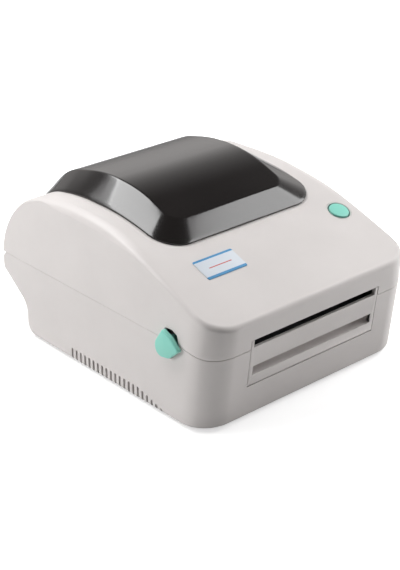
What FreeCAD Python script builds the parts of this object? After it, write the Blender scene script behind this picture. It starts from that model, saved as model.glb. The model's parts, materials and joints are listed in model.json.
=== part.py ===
import FreeCAD, Part
import math
import os
import Sketcher

# A desktop thermal label printer. X runs to the printer's right, Y to its rear, Z up.
# The origin lies on the table, midway between the sides and between front and rear.

SIZES = (
    # case
    ("body_width", 178), ("body_depth", 211), ("foot_gap", 3), ("wall", 2.5), ("seam_gap", 0.4),
    ("crest_level", 105.3), ("nose_level", 70.5), ("front_lean", 8), ("seam_level", 54),
    ("nose_seam_level", 50.5), ("side_lean", 5), ("belly_round", 9), ("nose_round", 22),
    ("belly_front_round", 3.5),
    ("tail_round", 4), ("lip_round", 4), ("crest_front", 94.6), ("crest_rear", 60.4),
    ("shoulder_level", 93.8), ("crest_round", 190), ("brow_round", 155), ("shoulder_round", 54),
    ("tail_level", 42), ("skirt_level", 24.5), ("skirt_inset", 24.25), ("skirt_round", 5),
    ("band_width", 6), ("band_drop", 4.5), ("band_rear_drop", 1.5),
    ("apron_gap", 0.8), ("apron_round", 2), ("apron_front_round", 4), ("apron_width", 7),
    # window
    ("window_half", 65), ("window_front", 66), ("window_rise", 13), ("window_bevel", 17),
    ("window_nose", 14), ("window_wall", 2), ("window_round", 20), ("window_tail_level", 66),
    ("window_seat", 4), ("window_gap", 0.25), ("window_proud", 1.5), ("window_rim", 1.2),
    ("window_nose_rise", 6.1),
    # front panel
    ("panel_half", 54.5), ("panel_bottom", 24.8), ("panel_gap", 0.5), ("panel_wall", 2.5),
    ("slot_half", 52.5), ("slot_bottom", 51.5), ("slot_top", 57), ("pocket_bottom", 31.5),
    ("pocket_top", 38), ("pocket_depth", 8), ("pocket_rise", 1.9),
    # name plate
    ("badge_across", -41), ("badge_setback", 45), ("badge_half", 15.2),
    ("badge_depth_half", 8.2), ("badge_thickness", 0.5),
    # vents
    ("vent_count", 21), ("vent_pitch", 4.45), ("vent_width", 2), ("vent_front", 45),
    ("vent_top", 10), ("vent_fall", 1.1), ("vent_fall_count", 5),
    # platen and gears
    ("platen_setback", 21), ("platen_level", 45.5), ("platen_radius", 8), ("platen_half", 54),
    ("shaft_radius", 3), ("running_gap", 0.05), ("gear_module", 1), ("platen_teeth", 24),
    ("idler_teeth", 28), ("pinion_teeth", 12), ("gear_width", 6), ("gear_left", 63),
    ("idler_angle", 45), ("pinion_angle", 13), ("plate_half", 59), ("plate_thickness", 1.5),
    ("bush_radius", 5), ("motor_side", 28), ("motor_length", 32), ("motor_shaft_radius", 2.5),
    ("idler_pin_radius", 2),
    # latch
    ("latch_setback", 38), ("latch_level", 46), ("latch_radius", 2.5), ("hook_half", 71.5),
    ("hook_thickness", 2.5), ("strike_radius", 1.5), ("strike_level", 58), ("strike_gap", 0.4),
    ("cap_thickness", 2.7),
    # tray and label guides
    ("tray_half", 57.5), ("tray_floor", 18), ("tray_wall", 2.5), ("tray_lip", 53),
    ("core_level", 68), ("core_y", 22), ("core_radius", 11), ("guide_half", 51),
    ("guide_plate", 2), ("guide_travel", 25), ("rack_bottom", 10), ("rack_height", 3.5),
    ("guide_teeth", 10), ("sensor_level", 45), ("sensor_setback", 55), ("sensor_rail_radius", 1.5),
    # head
    ("head_gap", 0.3), ("head_half", 54), ("frame_level", 66), ("frame_thickness", 2),
    ("frame_half", 78), ("pivot_level", 62), ("pivot_setback", 44), ("pivot_radius", 1.5),
    ("spring_radius", 3), ("spring_wire", 0.8), ("spring_half", 35),
    # feed button
    ("button_x", 69), ("button_setback", 51), ("button_radius", 7.2), ("button_gap", 0.25),
    ("ring_width", 1), ("button_travel", 0.8), ("button_proud", 1.2),
    # hinge
    ("hinge_inset", 1.8), ("hinge_lift", 0.2), ("barrel_radius", 1.7), ("hinge_pin_radius", 1),
    ("hinge_outer", 80), ("hinge_inner", 62), ("leaf_thickness", 1.5), ("hinge_relief", 0.5),
    # power and data
    ("board_level", 9), ("board_thickness", 1.6), ("board_half", 40), ("port_x", 0),
    ("jack_x", -26), ("switch_x", -57), ("switch_level", 14.8), ("rocker_tilt", 7),
    # fasteners and feet
    ("screw_radius", 1.5), ("screw_head_radius", 2.8), ("screw_head", 1.6), ("screw_gap", 0.1),
    ("foot_radius", 8), ("foot_height", 1.4), ("plinth_inset", 13), ("plinth_thickness", 1.6),
)

doc = FreeCAD.newDocument("label_printer")
sheet = doc.addObject("Spreadsheet::Sheet", "Sizes")
for row, (alias, number) in enumerate(SIZES, start=1):
    sheet.set(f"A{row}", alias)
    sheet.set(f"B{row}", str(number))
    sheet.setAlias(f"B{row}", alias)
doc.recompute()


class Size:
    """A number and the spreadsheet expression that it comes from."""

    def __init__(self, number, text):
        self.number = number
        self.text = text

    def __add__(self, other):
        other = as_size(other)
        return Size(self.number + other.number, f"({self.text} + {other.text})")

    def __sub__(self, other):
        other = as_size(other)
        return Size(self.number - other.number, f"({self.text} - {other.text})")

    def __mul__(self, other):
        other = as_size(other)
        return Size(self.number * other.number, f"({self.text} * {other.text})")

    def __truediv__(self, other):
        other = as_size(other)
        return Size(self.number / other.number, f"({self.text} / {other.text})")

    def __neg__(self):
        return Size(-self.number, f"(0 - {self.text})")

    def __radd__(self, other):
        return as_size(other) + self

    def __rsub__(self, other):
        return as_size(other) - self

    def __rmul__(self, other):
        return as_size(other) * self


def as_size(entry):
    return entry if isinstance(entry, Size) else Size(float(entry), f"({entry})")


def cosine(angle):
    return Size(math.cos(math.radians(angle.number)), f"cos({angle.text})")


def sine(angle):
    return Size(math.sin(math.radians(angle.number)), f"sin({angle.text})")


def smaller(first, second):
    return Size(min(first.number, second.number), f"min({first.text}; {second.text})")


def slope_angle(rise, run):
    number = math.degrees(math.atan2(rise.number, run.number))
    return Size(number, f"(atan({rise.text} / {run.text}) / 1 deg)")


class Sheet:
    """The sheet's cells as attributes, so that a formula reads as plain arithmetic."""

    def __getattr__(self, alias):
        return Size(float(getattr(sheet, alias)), f"Sizes.{alias}")


S = Sheet()
pieces = {}


def bind(thing, path, entry):
    thing.setExpression(path, as_size(entry).text)


def publish(thing, label):
    """Names a finished sub-part, whose label is also its file's name."""
    thing.Label = label
    pieces[label] = thing
    return thing


# ---------------------------------------------------------------- primitives and booleans

def box(name, across, along, up):
    """A block between two X, two Y and two Z values."""
    block = doc.addObject("Part::Box", name)
    for side, letter, (low, high) in zip(("Length", "Width", "Height"), "xyz", (across, along, up)):
        bind(block, side, as_size(high) - low)
        bind(block, f"Placement.Base.{letter}", low)
    return block


AXIS_TURN = {
    "x": FreeCAD.Rotation(FreeCAD.Vector(0, 1, 0), 90),
    "y": FreeCAD.Rotation(FreeCAD.Vector(1, 0, 0), -90),
    "z": FreeCAD.Rotation(),
}


def rod(name, axis, centre, span, radius):
    """A cylinder along an axis; centre holds the other two coordinates in X, Y, Z order."""
    bar = doc.addObject("Part::Cylinder", name)
    bar.Placement = FreeCAD.Placement(FreeCAD.Vector(), AXIS_TURN[axis])
    bind(bar, "Radius", radius)
    bind(bar, "Height", as_size(span[1]) - span[0])
    bind(bar, f"Placement.Base.{axis}", span[0])
    for letter, entry in zip([c for c in "xyz" if c != axis], centre):
        bind(bar, f"Placement.Base.{letter}", entry)
    return bar


def fuse(name, shapes):
    union = doc.addObject("Part::MultiFuse", name)
    union.Shapes = shapes
    return union


def common(name, shapes):
    overlap = doc.addObject("Part::MultiCommon", name)
    overlap.Shapes = shapes
    return overlap


def cut(name, base, tools):
    remainder = doc.addObject("Part::Cut", name)
    remainder.Base = base
    remainder.Tool = tools[0] if len(tools) == 1 else fuse(name + "_tools", tools)
    return remainder


def group(name, shapes):
    """Several separate solids that share one node."""
    bundle = doc.addObject("Part::Compound", name)
    bundle.Links = shapes
    return bundle


def mirrored(name, source):
    """The same piece on the other side of the printer's middle plane."""
    image = doc.addObject("Part::Mirroring", name)
    image.Source = source
    image.Base = FreeCAD.Vector(0, 0, 0)
    image.Normal = FreeCAD.Vector(1, 0, 0)
    return image


# ---------------------------------------------------------------- sketches

FLAT_TURN = {
    "XY_Plane": FreeCAD.Rotation(),
    "XZ_Plane": FreeCAD.Rotation(FreeCAD.Vector(1, 0, 0), 90),
    "YZ_Plane": FreeCAD.Rotation(FreeCAD.Vector(1, 1, 1), 120),
}


def free_sketch(name, plane, x_offset=0, z_offset=0):
    """A sketch outside any body, parallel to an origin plane."""
    sketch = doc.addObject("Sketcher::SketchObject", name)
    sketch.Placement = FreeCAD.Placement(FreeCAD.Vector(), FLAT_TURN[plane])
    bind(sketch, "Placement.Base.x", x_offset)
    bind(sketch, "Placement.Base.z", z_offset)
    return sketch


def body_sketch(body, name, plane, offset=0):
    """A sketch on one of the body's own origin planes, moved along the plane's normal."""
    sketch = body.newObject("Sketcher::SketchObject", name)
    flat = [feature for feature in body.Origin.OriginFeatures if feature.Role == plane][0]
    sketch.AttachmentSupport = (flat, [""])
    sketch.MapMode = "FlatFace"
    bind(sketch, "AttachmentOffset.Base.z", offset)
    return sketch


def constrain(sketch, constraint, entry):
    index = sketch.addConstraint(constraint)
    bind(sketch, f"Constraints[{index}]", entry)


def pin_point(sketch, item, position, across, up):
    """Ties one point of a sketch to its two coordinates."""
    place = (as_size(across), as_size(up))
    for kind, entry in zip(("DistanceX", "DistanceY"), place):
        constrain(sketch, Sketcher.Constraint(kind, -1, 1, item, position, entry.number), entry)


def circle(sketch, across, up, radius):
    centre = FreeCAD.Vector(as_size(across).number, as_size(up).number, 0)
    size = as_size(radius)
    item = sketch.addGeometry(Part.Circle(centre, FreeCAD.Vector(0, 0, 1), size.number))
    pin_point(sketch, item, 3, across, up)
    constrain(sketch, Sketcher.Constraint("Radius", item, size.number), size)
    return sketch


def outline(sketch, corners):
    """A closed outline through corners (across, up) or (across, up, radius of the rounding)."""
    spots = [FreeCAD.Vector(as_size(c[0]).number, as_size(c[1]).number, 0) for c in corners]
    rounds = [as_size(c[2]) if len(c) > 2 else None for c in corners]
    count = len(corners)
    leave = []
    arrive = []
    arcs = {}
    for i, spot in enumerate(spots):
        back = (spots[i - 1] - spot).normalize()
        ahead = (spots[(i + 1) % count] - spot).normalize()
        if rounds[i] is None:
            arrive.append(spot)
            leave.append(spot)
            continue
        half = back.getAngle(ahead) / 2
        reach = rounds[i].number / math.tan(half)
        arrive.append(spot + back * reach)
        leave.append(spot + ahead * reach)
        inward = (back + ahead).normalize()
        arcs[i] = spot + inward * (rounds[i].number / math.sin(half))
    lines = []
    for i in range(count):
        segment = Part.LineSegment(leave[i], arrive[(i + 1) % count])
        lines.append(sketch.addGeometry(segment))
    for i, corner in enumerate(corners):
        before = lines[i - 1]
        after = lines[i]
        if rounds[i] is None:
            sketch.addConstraint(Sketcher.Constraint("Coincident", before, 2, after, 1))
            pin_point(sketch, after, 1, corner[0], corner[1])
            continue
        start = arrive[i] - arcs[i]
        end = leave[i] - arcs[i]
        left_turn = start.cross(end).z > 0
        first, last = (start, end) if left_turn else (end, start)
        ring = Part.Circle(arcs[i], FreeCAD.Vector(0, 0, 1), rounds[i].number)
        angles = [math.atan2(v.y, v.x) for v in (first, last)]
        arc = sketch.addGeometry(Part.ArcOfCircle(ring, angles[0], angles[1]))
        start_end, finish_end = (1, 2) if left_turn else (2, 1)
        sketch.addConstraint(Sketcher.Constraint("Tangent", before, 2, arc, start_end))
        sketch.addConstraint(Sketcher.Constraint("Tangent", arc, finish_end, after, 1))
        constrain(sketch, Sketcher.Constraint("Radius", arc, rounds[i].number), rounds[i])
        vertex = sketch.addGeometry(Part.Point(spots[i]), True)
        pin_point(sketch, vertex, 1, corner[0], corner[1])
        sketch.addConstraint(Sketcher.Constraint("PointOnObject", vertex, 1, before))
        sketch.addConstraint(Sketcher.Constraint("PointOnObject", vertex, 1, after))
    return sketch


def rectangle(sketch, across, up, radius=None):
    corners = [(across[0], up[0]), (across[1], up[0]), (across[1], up[1]), (across[0], up[1])]
    if radius is not None:
        corners = [corner + (radius,) for corner in corners]
    return outline(sketch, corners)


def extrude(name, face, length, symmetric=False):
    prism = doc.addObject("Part::Extrusion", name)
    prism.Base = face
    prism.DirMode = "Normal"
    prism.Solid = True
    prism.Symmetric = symmetric
    bind(prism, "LengthFwd", length)
    return prism


# ---------------------------------------------------------------- PartDesign features

def new_body(label, at=(0, 0, 0), turn=None):
    """A body whose place, and turn about X, follow the sheet."""
    body = doc.addObject("PartDesign::Body", label)
    for letter, entry in zip("xyz", at):
        bind(body, f"Placement.Base.{letter}", entry)
    if turn is not None:
        body.Placement.Rotation = FreeCAD.Rotation(FreeCAD.Vector(1, 0, 0), 1)
        bind(body, "Placement.Rotation.Angle", turn)
    return publish(body, label)


def pad(body, sketch, length, symmetric=False, reversed_way=False):
    solid = body.newObject("PartDesign::Pad", sketch.Name + "_pad")
    solid.Profile = sketch
    solid.SideType = "Symmetric" if symmetric else "One side"
    solid.Reversed = reversed_way
    bind(solid, "Length", length)
    return solid


def pocket(body, sketch, length=None, symmetric=False, reversed_way=False):
    """Cuts the sketch out of the body, all the way through both ways where no length is given."""
    hollow = body.newObject("PartDesign::Pocket", sketch.Name + "_pocket")
    hollow.Profile = sketch
    hollow.Reversed = reversed_way
    if length is None:
        hollow.Type = "ThroughAll"
        hollow.SideType = "Symmetric"
        return hollow
    hollow.SideType = "Symmetric" if symmetric else "One side"
    bind(hollow, "Length", length)
    return hollow


def origin_axis(body, role):
    return [feature for feature in body.Origin.OriginFeatures if feature.Role == role][0]


# ---------------------------------------------------------------- shared places

half_width = S.body_width / 2
front_y = -((S.body_depth + S.window_proud) / 2)
rear_y = front_y + S.body_depth
floor_z = S.foot_gap + S.wall
skirt_y = rear_y - S.skirt_inset
slope = slope_angle(S.crest_level - S.nose_level, S.crest_front)
platen_y = front_y + S.platen_setback
latch_y = front_y + S.latch_setback
pivot_y = front_y + S.pivot_setback
sensor_y = front_y + S.sensor_setback
hinge_y = rear_y - S.hinge_inset
hinge_z = S.seam_level + S.hinge_lift
crown_z = S.crest_level + S.window_rise


crest_flat = S.body_depth - S.crest_front - S.crest_rear
crest_bend = smaller(S.crest_round, crest_flat * 3.5)
brow_bend = smaller(S.brow_round, crest_flat * 2.9)


def front_at(level):
    """Y of the leaning front face at a height."""
    drop = (S.nose_level - level) / (S.nose_level - S.foot_gap)
    return front_y + S.front_lean * drop


def top_at(setback):
    """Height of the sloping top at a distance behind its front edge."""
    return S.nose_level + (S.crest_level - S.nose_level) * setback / S.crest_front


# ---------------------------------------------------------------- the case's outer and inner form

def side_profile(name, base, front_round):
    sketch = free_sketch(name, "YZ_Plane")
    return outline(sketch, [
        (front_at(base), base, front_round),
        (skirt_y, base, S.skirt_round),
        (skirt_y, S.skirt_level, 6),
        (rear_y, S.tail_level, 5),
        (rear_y, S.shoulder_level, S.shoulder_round),
        (rear_y - S.crest_rear, S.crest_level, brow_bend),
        (front_y + S.crest_front, S.crest_level, crest_bend),
        (front_y, S.nose_level, S.lip_round),
    ])


def front_profile(name, base, edge_round):
    """Seen from the front: rounded at the bottom, leaning in above the seam."""
    lift = 10
    lean = S.side_lean * (S.crest_level + lift - S.seam_level) / (S.crest_level - S.seam_level)
    sketch = free_sketch(name, "XZ_Plane")
    return outline(sketch, [
        (-half_width, base, edge_round),
        (half_width, base, edge_round),
        (half_width, S.seam_level),
        (half_width - lean, S.crest_level + lift),
        (-(half_width - lean), S.crest_level + lift),
        (-half_width, S.seam_level),
    ])


def plan_profile(name, base, front, rear, radius):
    sketch = free_sketch(name, "XY_Plane", z_offset=base)
    return rectangle(sketch, (-half_width, half_width), (front, rear), radius)


def inset(sketch, amount):
    """The sketch itself, or the same outline moved inwards."""
    if amount is None:
        return sketch
    smaller = doc.addObject("Part::Offset2D", sketch.Name + "_inset")
    smaller.Source = sketch
    smaller.Join = "Intersection"
    bind(smaller, "Value", -amount)
    return smaller


def band_cutter(name, lowered):
    """What the chamfer takes off the right crest edge; it fades out towards the front."""
    sections = []
    inner_x = half_width - S.side_lean - S.band_width * 2
    outer_x = half_width - S.side_lean + S.band_width
    for tag, x_place, share in (("inner", inner_x, 1), ("outer", outer_x, -2)):
        drop = S.band_drop * share
        back = S.band_rear_drop * share
        sketch = free_sketch(f"{name}_{tag}", "YZ_Plane", x_offset=x_place, z_offset=-as_size(lowered))
        sections.append(outline(sketch, [
            (front_y - 7, top_at(as_size(-7))),
            (front_y + S.crest_front, S.crest_level + drop, crest_bend),
            (rear_y - S.crest_rear, S.crest_level + drop, brow_bend * 0.9),
            (rear_y + back, S.shoulder_level + drop, S.shoulder_round - 2 * (1 - share)),
            (rear_y + back, S.skirt_level),
            (rear_y + 20, S.skirt_level),
            (rear_y + 20, S.crest_level + 40),
            (front_y - 7, S.crest_level + 40),
        ]))
    loft = doc.addObject("Part::Loft", name)
    loft.Sections = sections
    loft.Solid = True
    loft.Ruled = True
    return loft


def case_form(name, base, rounds, amount=None):
    """The whole case above a base level as one solid, or the space inside its wall."""
    shift = as_size(0) if amount is None else amount
    width = S.body_width + 20
    side_line = inset(side_profile(name + "_side_line", base, rounds[0]), amount)
    side = extrude(name + "_side", side_line, width, True)
    front_line = inset(front_profile(name + "_front_line", base, rounds[1]), amount)
    front = extrude(name + "_front", front_line, S.body_depth + 40, True)
    nose_line = plan_profile(name + "_nose_line", base, front_at(base), rear_y + 40, S.nose_round)
    nose = extrude(name + "_nose", inset(nose_line, amount), S.crest_level + 40)
    nose.DirMode = "Custom"
    bind(nose, "Dir.y", -S.front_lean)
    bind(nose, "Dir.z", S.nose_level - S.foot_gap)
    tail_line = plan_profile(name + "_tail_line", base, front_y - 40, rear_y, S.tail_round)
    tail = extrude(name + "_tail", inset(tail_line, amount), S.crest_level + 40)
    block = common(name + "_block", [side, front, nose, tail])
    right = band_cutter(name + "_band", shift * 1.4)
    left = mirrored(name + "_band_left", right)
    return cut(name, block, [right, left])


outer_form = case_form("outer_form", S.apron_gap, (S.apron_front_round, S.apron_round))
inner_form = case_form("inner_form", S.foot_gap, (S.belly_front_round, S.belly_round), S.wall)


def parting(name, way):
    """Everything above (way 1) or below (way -1) the parting line between cover and case."""
    side_gap = S.seam_gap / 2 * way
    far = S.crest_level + 60 if way > 0 else as_size(-20)
    sketch = free_sketch(name + "_line", "YZ_Plane")
    corners = [
        (front_y - 15, S.nose_seam_level + side_gap),
        (front_y + 5, S.nose_seam_level + side_gap, 25),
        (front_y + 27, S.seam_level + side_gap, 25),
        (rear_y + 15, S.seam_level + side_gap),
        (rear_y + 15, far),
        (front_y - 15, far),
    ]
    outline(sketch, corners)
    return extrude(name, sketch, S.body_width + 40, True)


upper_half = parting("upper_half", 1)
lower_half = parting("lower_half", -1)


def lever_recess(name):
    sketch = free_sketch(name + "_line", "YZ_Plane", x_offset=half_width - 9)
    outline(sketch, [
        (latch_y - 13, S.latch_level + 7, 1.5),
        (latch_y - 4, S.latch_level - 3.5, 2),
        (latch_y + 7, S.latch_level - 1, 2),
        (latch_y + 7, S.latch_level + 12, 2),
        (latch_y + 1, S.latch_level + 19.5, 1.5),
        (latch_y - 9.5, S.latch_level + 17.5, 2),
    ])
    return extrude(name, sketch, 20)


recess_right = lever_recess("recess_right")
recess_left = mirrored("recess_left", recess_right)
panel_hole = box("panel_hole", (-(S.panel_half + S.panel_gap), S.panel_half + S.panel_gap),
                 (front_y - 5, front_at(S.panel_bottom) + S.wall + 2),
                 (S.panel_bottom - S.panel_gap, S.slot_top))


def hinge_pockets(name, low, high):
    """Room in the rear wall for the hinge barrels."""
    right = box(name + "_right", (S.hinge_inner - 0.4, S.hinge_outer + 0.4),
                (rear_y - S.wall - 1.7, rear_y + 2), (low, high))
    return [right, mirrored(name + "_left", right)]


# ---------------------------------------------------------------- lower case

def vent_tools():
    tools = []
    for i in range(int(S.vent_count.number)):
        start = front_y + S.vent_front + S.vent_pitch * i
        short = max(int(S.vent_fall_count.number) - i, 0)
        top = S.vent_top - S.vent_fall * short
        slit = box(f"vent_{i}", (half_width - S.belly_round, half_width + 3),
                   (start, start + S.vent_width), (S.apron_gap - 1, top))
        tools.append(slit)
    right = fuse("vents_right", tools)
    return [right, mirrored("vents_left", right)]


plate_screw_places = [(S.plate_half + 8, platen_y - 4), (S.plate_half + 8, platen_y + 48)]
tray_screw_places = [(S.tray_half + 12.5, as_size(-10)), (S.tray_half + 12.5, as_size(66))]
board_screw_places = [(S.board_half - 4, as_size(40)), (S.board_half - 4, skirt_y - 8)]
plinth_screw_places = [(as_size(50), front_y + 40), (as_size(50), skirt_y - 30)]
plate_foot_z = as_size(10)
tray_ear_z = as_size(42)


def both_sides(places):
    return [(side * across, along) for across, along in places for side in (1, -1)]


def standing(prefix, places, span, radius):
    """Upright cylinders at several places."""
    rods = []
    for i, (across, along) in enumerate(both_sides(places)):
        rods.append(rod(f"{prefix}_{i}", "z", (across, along), span, radius))
    return rods


def apron_hollow():
    """The recess under the case that takes the base plate and leaves an apron round it."""
    sketch = free_sketch("apron_line", "XY_Plane", z_offset=S.apron_gap - 2)
    edge = half_width - S.apron_width
    rectangle(sketch, (-edge, edge), (front_at(S.apron_gap) + 4, skirt_y - 4), 9)
    return extrude("apron_hollow", sketch, S.foot_gap - S.apron_gap + 2)


def make_lower_case():
    shell = cut("lower_shell", outer_form, [inner_form, apron_hollow()])
    trimmed = common("lower_trimmed", [shell, lower_half])
    root_z = S.foot_gap + 1
    bosses = standing("plate_boss", plate_screw_places, (root_z, plate_foot_z), 4)
    bosses += standing("tray_boss", tray_screw_places, (root_z, tray_ear_z), 4)
    bosses += standing("board_boss", board_screw_places, (root_z, S.board_level), 3.5)
    bosses += standing("plinth_boss", plinth_screw_places, (root_z, floor_z + 4), 4)
    solid = fuse("lower_solid", [trimmed] + bosses)
    hole = S.screw_radius + S.screw_gap
    holes = standing("plate_hole", plate_screw_places, (floor_z, plate_foot_z + 1), hole)
    holes += standing("tray_hole", tray_screw_places, (tray_ear_z - 12, tray_ear_z + 1), hole)
    holes += standing("board_hole", board_screw_places, (floor_z, S.board_level + 1), hole)
    holes += standing("plinth_hole", plinth_screw_places, (0, floor_z + 3), hole)
    # the cover's lower edge swings round the hinge inside this bevel
    bevel = (S.hinge_inset + S.hinge_relief) * math.sqrt(2)
    relief_sketch = free_sketch("hinge_relief_line", "YZ_Plane")
    outline(relief_sketch, [
        (hinge_y - bevel, hinge_z),
        (rear_y + 1, hinge_z - bevel - S.hinge_inset - 1),
        (rear_y + 1, hinge_z + 1),
        (hinge_y - bevel, hinge_z + 1),
    ])
    relief = extrude("hinge_relief_cut", relief_sketch, S.body_width + 10, True)
    slot = box("rear_slot_cut", (-S.tray_half, S.tray_half), (rear_y - 9, rear_y + 3),
               (S.seam_level - 6.5, S.seam_level + 2))
    back = (skirt_y - S.wall - 3, skirt_y + 2)
    switch_hole = box("switch_hole", (S.switch_x - 7.3, S.switch_x + 7.3), back,
                      (S.switch_level - 6, S.switch_level + 6))
    port_z = S.board_level + S.board_thickness
    port_hole = box("port_hole", (S.port_x - 6.3, S.port_x + 6.3), back, (port_z - 0.3, port_z + 11.3))
    jack_hole = box("jack_hole", (S.jack_x - 4.8, S.jack_x + 4.8), back, (port_z - 0.3, port_z + 11.3))
    tools = holes + vent_tools() + [recess_right, recess_left, panel_hole, relief, slot]
    tools += [switch_hole, port_hole, jack_hole]
    tools += hinge_pockets("case_hinge_pocket", S.seam_level - 2.2, S.seam_level + 2)
    publish(cut("lower_case_solid", solid, tools), "lower_case")


# ---------------------------------------------------------------- top cover and window

def window_outline(name, spread, depth_in):
    """Plan outline of the window's hole or rim."""
    sketch = free_sketch(name + "_line", "XY_Plane", z_offset=S.window_tail_level - depth_in)
    start = front_y + S.window_front
    rectangle(sketch, (-(S.window_half - spread), S.window_half - spread),
              (start + spread, rear_y + 60), S.window_round - spread)
    return extrude(name, sketch, crown_z)


def window_section(name, x_place, rise, inward):
    """Side view of the window's skin; rise 0 is its rim on the cover and rise 1 its crown."""
    crown = S.crest_level + S.window_rim + (S.window_rise - S.window_rim) * rise - inward
    nose = S.window_rim + (S.window_nose_rise - S.window_rim) * rise - inward
    start = front_y + S.window_front + inward
    tail = rear_y + S.window_proud - inward
    tail_rise = S.window_rim + (S.window_rise * 0.6 - S.window_rim) * rise - inward
    sketch = free_sketch(name, "YZ_Plane", x_offset=x_place)
    return outline(sketch, [
        (start, S.seam_level),
        (tail, S.seam_level),
        (tail, S.shoulder_level + tail_rise, S.shoulder_round - 2),
        (rear_y - S.crest_rear, crown, brow_bend * 0.75),
        (front_y + S.crest_front + 16 * rise, crown, crest_bend * 0.55),
        (start + S.window_nose, top_at(S.window_front + S.window_nose) + nose),
        (start, top_at(S.window_front) + S.window_rim - inward),
    ])


def window_form(name, inward):
    """The raised dome: flat across the crown, bevelled on both sides and at the front."""
    low = S.window_half + 6
    high = S.window_half - S.window_bevel
    grow = -6 / S.window_bevel.number
    sections = []
    stations = ((-low, grow), (-high, 1), (high, 1), (low, grow))
    for i, (x_place, rise) in enumerate(stations):
        sections.append(window_section(f"{name}_section_{i}", x_place, rise, inward))
    loft = doc.addObject("Part::Loft", name + "_loft")
    loft.Sections = sections
    loft.Solid = True
    loft.Ruled = True
    return loft


def make_top_cover():
    shell = cut("cover_shell", outer_form, [inner_form])
    trimmed = common("cover_trimmed", [shell, upper_half])
    opening = window_outline("window_opening", S.window_seat, -S.window_seat)
    posts = standing("frame_post", frame_screw_places, (S.frame_level + S.frame_thickness,
                                                        S.crest_level), 3.5)
    held = common("frame_posts", [outer_form, fuse("frame_post_set", posts)])
    body = fuse("cover_solid", [trimmed, held])
    reach = as_size(-8.5)
    stubs = []
    for i, offset in enumerate((-12.2, 12.2)):
        stub = rod(f"button_post_{i}", "z", (0, 0), (reach, -2.0), 1.8)
        stub_holder = button_frame_shift(stub, offset, reach)
        stubs.append(stub_holder)
    body = fuse("cover_with_posts", [body] + stubs)
    screw_holes = standing("frame_hole", frame_screw_places,
                           (S.frame_level, S.frame_level + 8), S.screw_radius + S.screw_gap)
    tools = [opening, recess_right, recess_left, panel_hole, button_hole] + screw_holes
    tools += hinge_pockets("cover_hinge_pocket", S.seam_level - 1, hinge_z + S.barrel_radius + 0.5)
    publish(cut("top_cover_solid", body, tools), "top_cover")


def make_window():
    dome = common("window_dome", [window_form("window_outer", as_size(0)),
                                  window_outline("window_rim", as_size(0), 0)])
    seat_line = doc.addObject("Part::Offset2D", "window_seat_line")
    seat_line.Source = side_profile("window_seat_source", S.foot_gap, S.belly_front_round)
    bind(seat_line, "Value", S.window_gap)
    seat = extrude("window_seat_form", seat_line, S.body_width + 20, True)
    hollow = common("window_hollow", [window_form("window_inner", S.window_wall),
                                      window_outline("window_hollow_rim", S.window_seat, -S.window_seat)])
    publish(cut("window_solid", dome, [seat, hollow]), "smoked_window")


# ---------------------------------------------------------------- feed button, in its sloping frame

button_y = front_y + S.button_setback
button_z = top_at(S.button_setback)


def button_frame_shift(stub, offset, low):
    """Turns an upright cylinder to the slope of the top, at an offset across the button."""
    stub.Placement.Rotation = FreeCAD.Rotation(FreeCAD.Vector(1, 0, 0), 1)
    bind(stub, "Placement.Rotation.Angle", slope)
    bind(stub, "Placement.Base.x", S.button_x + offset)
    bind(stub, "Placement.Base.y", button_y - sine(slope) * low)
    bind(stub, "Placement.Base.z", button_z + cosine(slope) * low)
    return stub


ring_outer = S.button_radius + S.button_gap + S.ring_width
button_hole = button_frame_shift(
    rod("button_hole", "z", (0, 0), (0, 20), ring_outer + 0.1), 0, as_size(-8))


def make_button():
    place = (S.button_x, button_y, button_z)
    button = new_body("feed_button", place, slope)
    cap = circle(body_sketch(button, "button_cap", "XY_Plane", -2), 0, 0, S.button_radius)
    pad(button, cap, S.button_proud + 2)
    stem = circle(body_sketch(button, "button_stem", "XY_Plane", -4.1), 0, 0, 1.5)
    pad(button, stem, 3)
    doc.recompute()
    top_edges = []
    for i, edge in enumerate(button.Shape.Edges, start=1):
        whole = edge.isClosed() and abs(edge.Length - 2 * math.pi * S.button_radius.number) < 0.01
        local = button.Placement.inverse().multVec(edge.CenterOfMass)
        if whole and local.z > 0:
            top_edges.append(f"Edge{i}")
    blank = button.Tip
    rim = button.newObject("PartDesign::Fillet", "button_rim")
    rim.Base = (blank, top_edges)
    bind(rim, "Radius", 0.9)
    button.Tip = rim

    ring = new_body("button_ring", place, slope)
    collar = body_sketch(ring, "ring_collar", "XY_Plane", -(S.wall + 1.2))
    circle(collar, 0, 0, ring_outer)
    pad(ring, collar, S.wall + 1.6)
    flange = circle(body_sketch(ring, "ring_flange", "XY_Plane", -(S.wall + 2.2)), 0, 0, ring_outer + 0.6)
    pad(ring, flange, 1.2)
    bore = circle(body_sketch(ring, "ring_bore", "XY_Plane"), 0, 0, S.button_radius + S.button_gap)
    pocket(ring, bore)

    board = new_body("button_board", place, slope)
    plate_sketch = body_sketch(board, "button_plate", "XY_Plane", -10)
    rectangle(plate_sketch, (-14, 14), (-7, 7), 1)
    pad(board, plate_sketch, 1.5)
    switch_sketch = body_sketch(board, "tact_switch", "XY_Plane", -8.5)
    rectangle(switch_sketch, (-3, 3), (-3, 3))
    pad(board, switch_sketch, 2.6)
    plunger = circle(body_sketch(board, "tact_plunger", "XY_Plane", -5.9), 0, 0, 1.6)
    pad(board, plunger, 0.9)


# ---------------------------------------------------------------- name plate, bare

def make_name_plate():
    """A bare plate lying on the sloping top."""
    place = (S.badge_across, front_y + S.badge_setback, top_at(S.badge_setback) + 0.05)
    plate = new_body("name_plate", place, slope)
    rectangle(body_sketch(plate, "plate_face", "XY_Plane"), (-S.badge_half, S.badge_half),
              (-S.badge_depth_half, S.badge_depth_half), 1)
    pad(plate, doc.getObject("plate_face"), S.badge_thickness)


# ---------------------------------------------------------------- front panel and base

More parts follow.
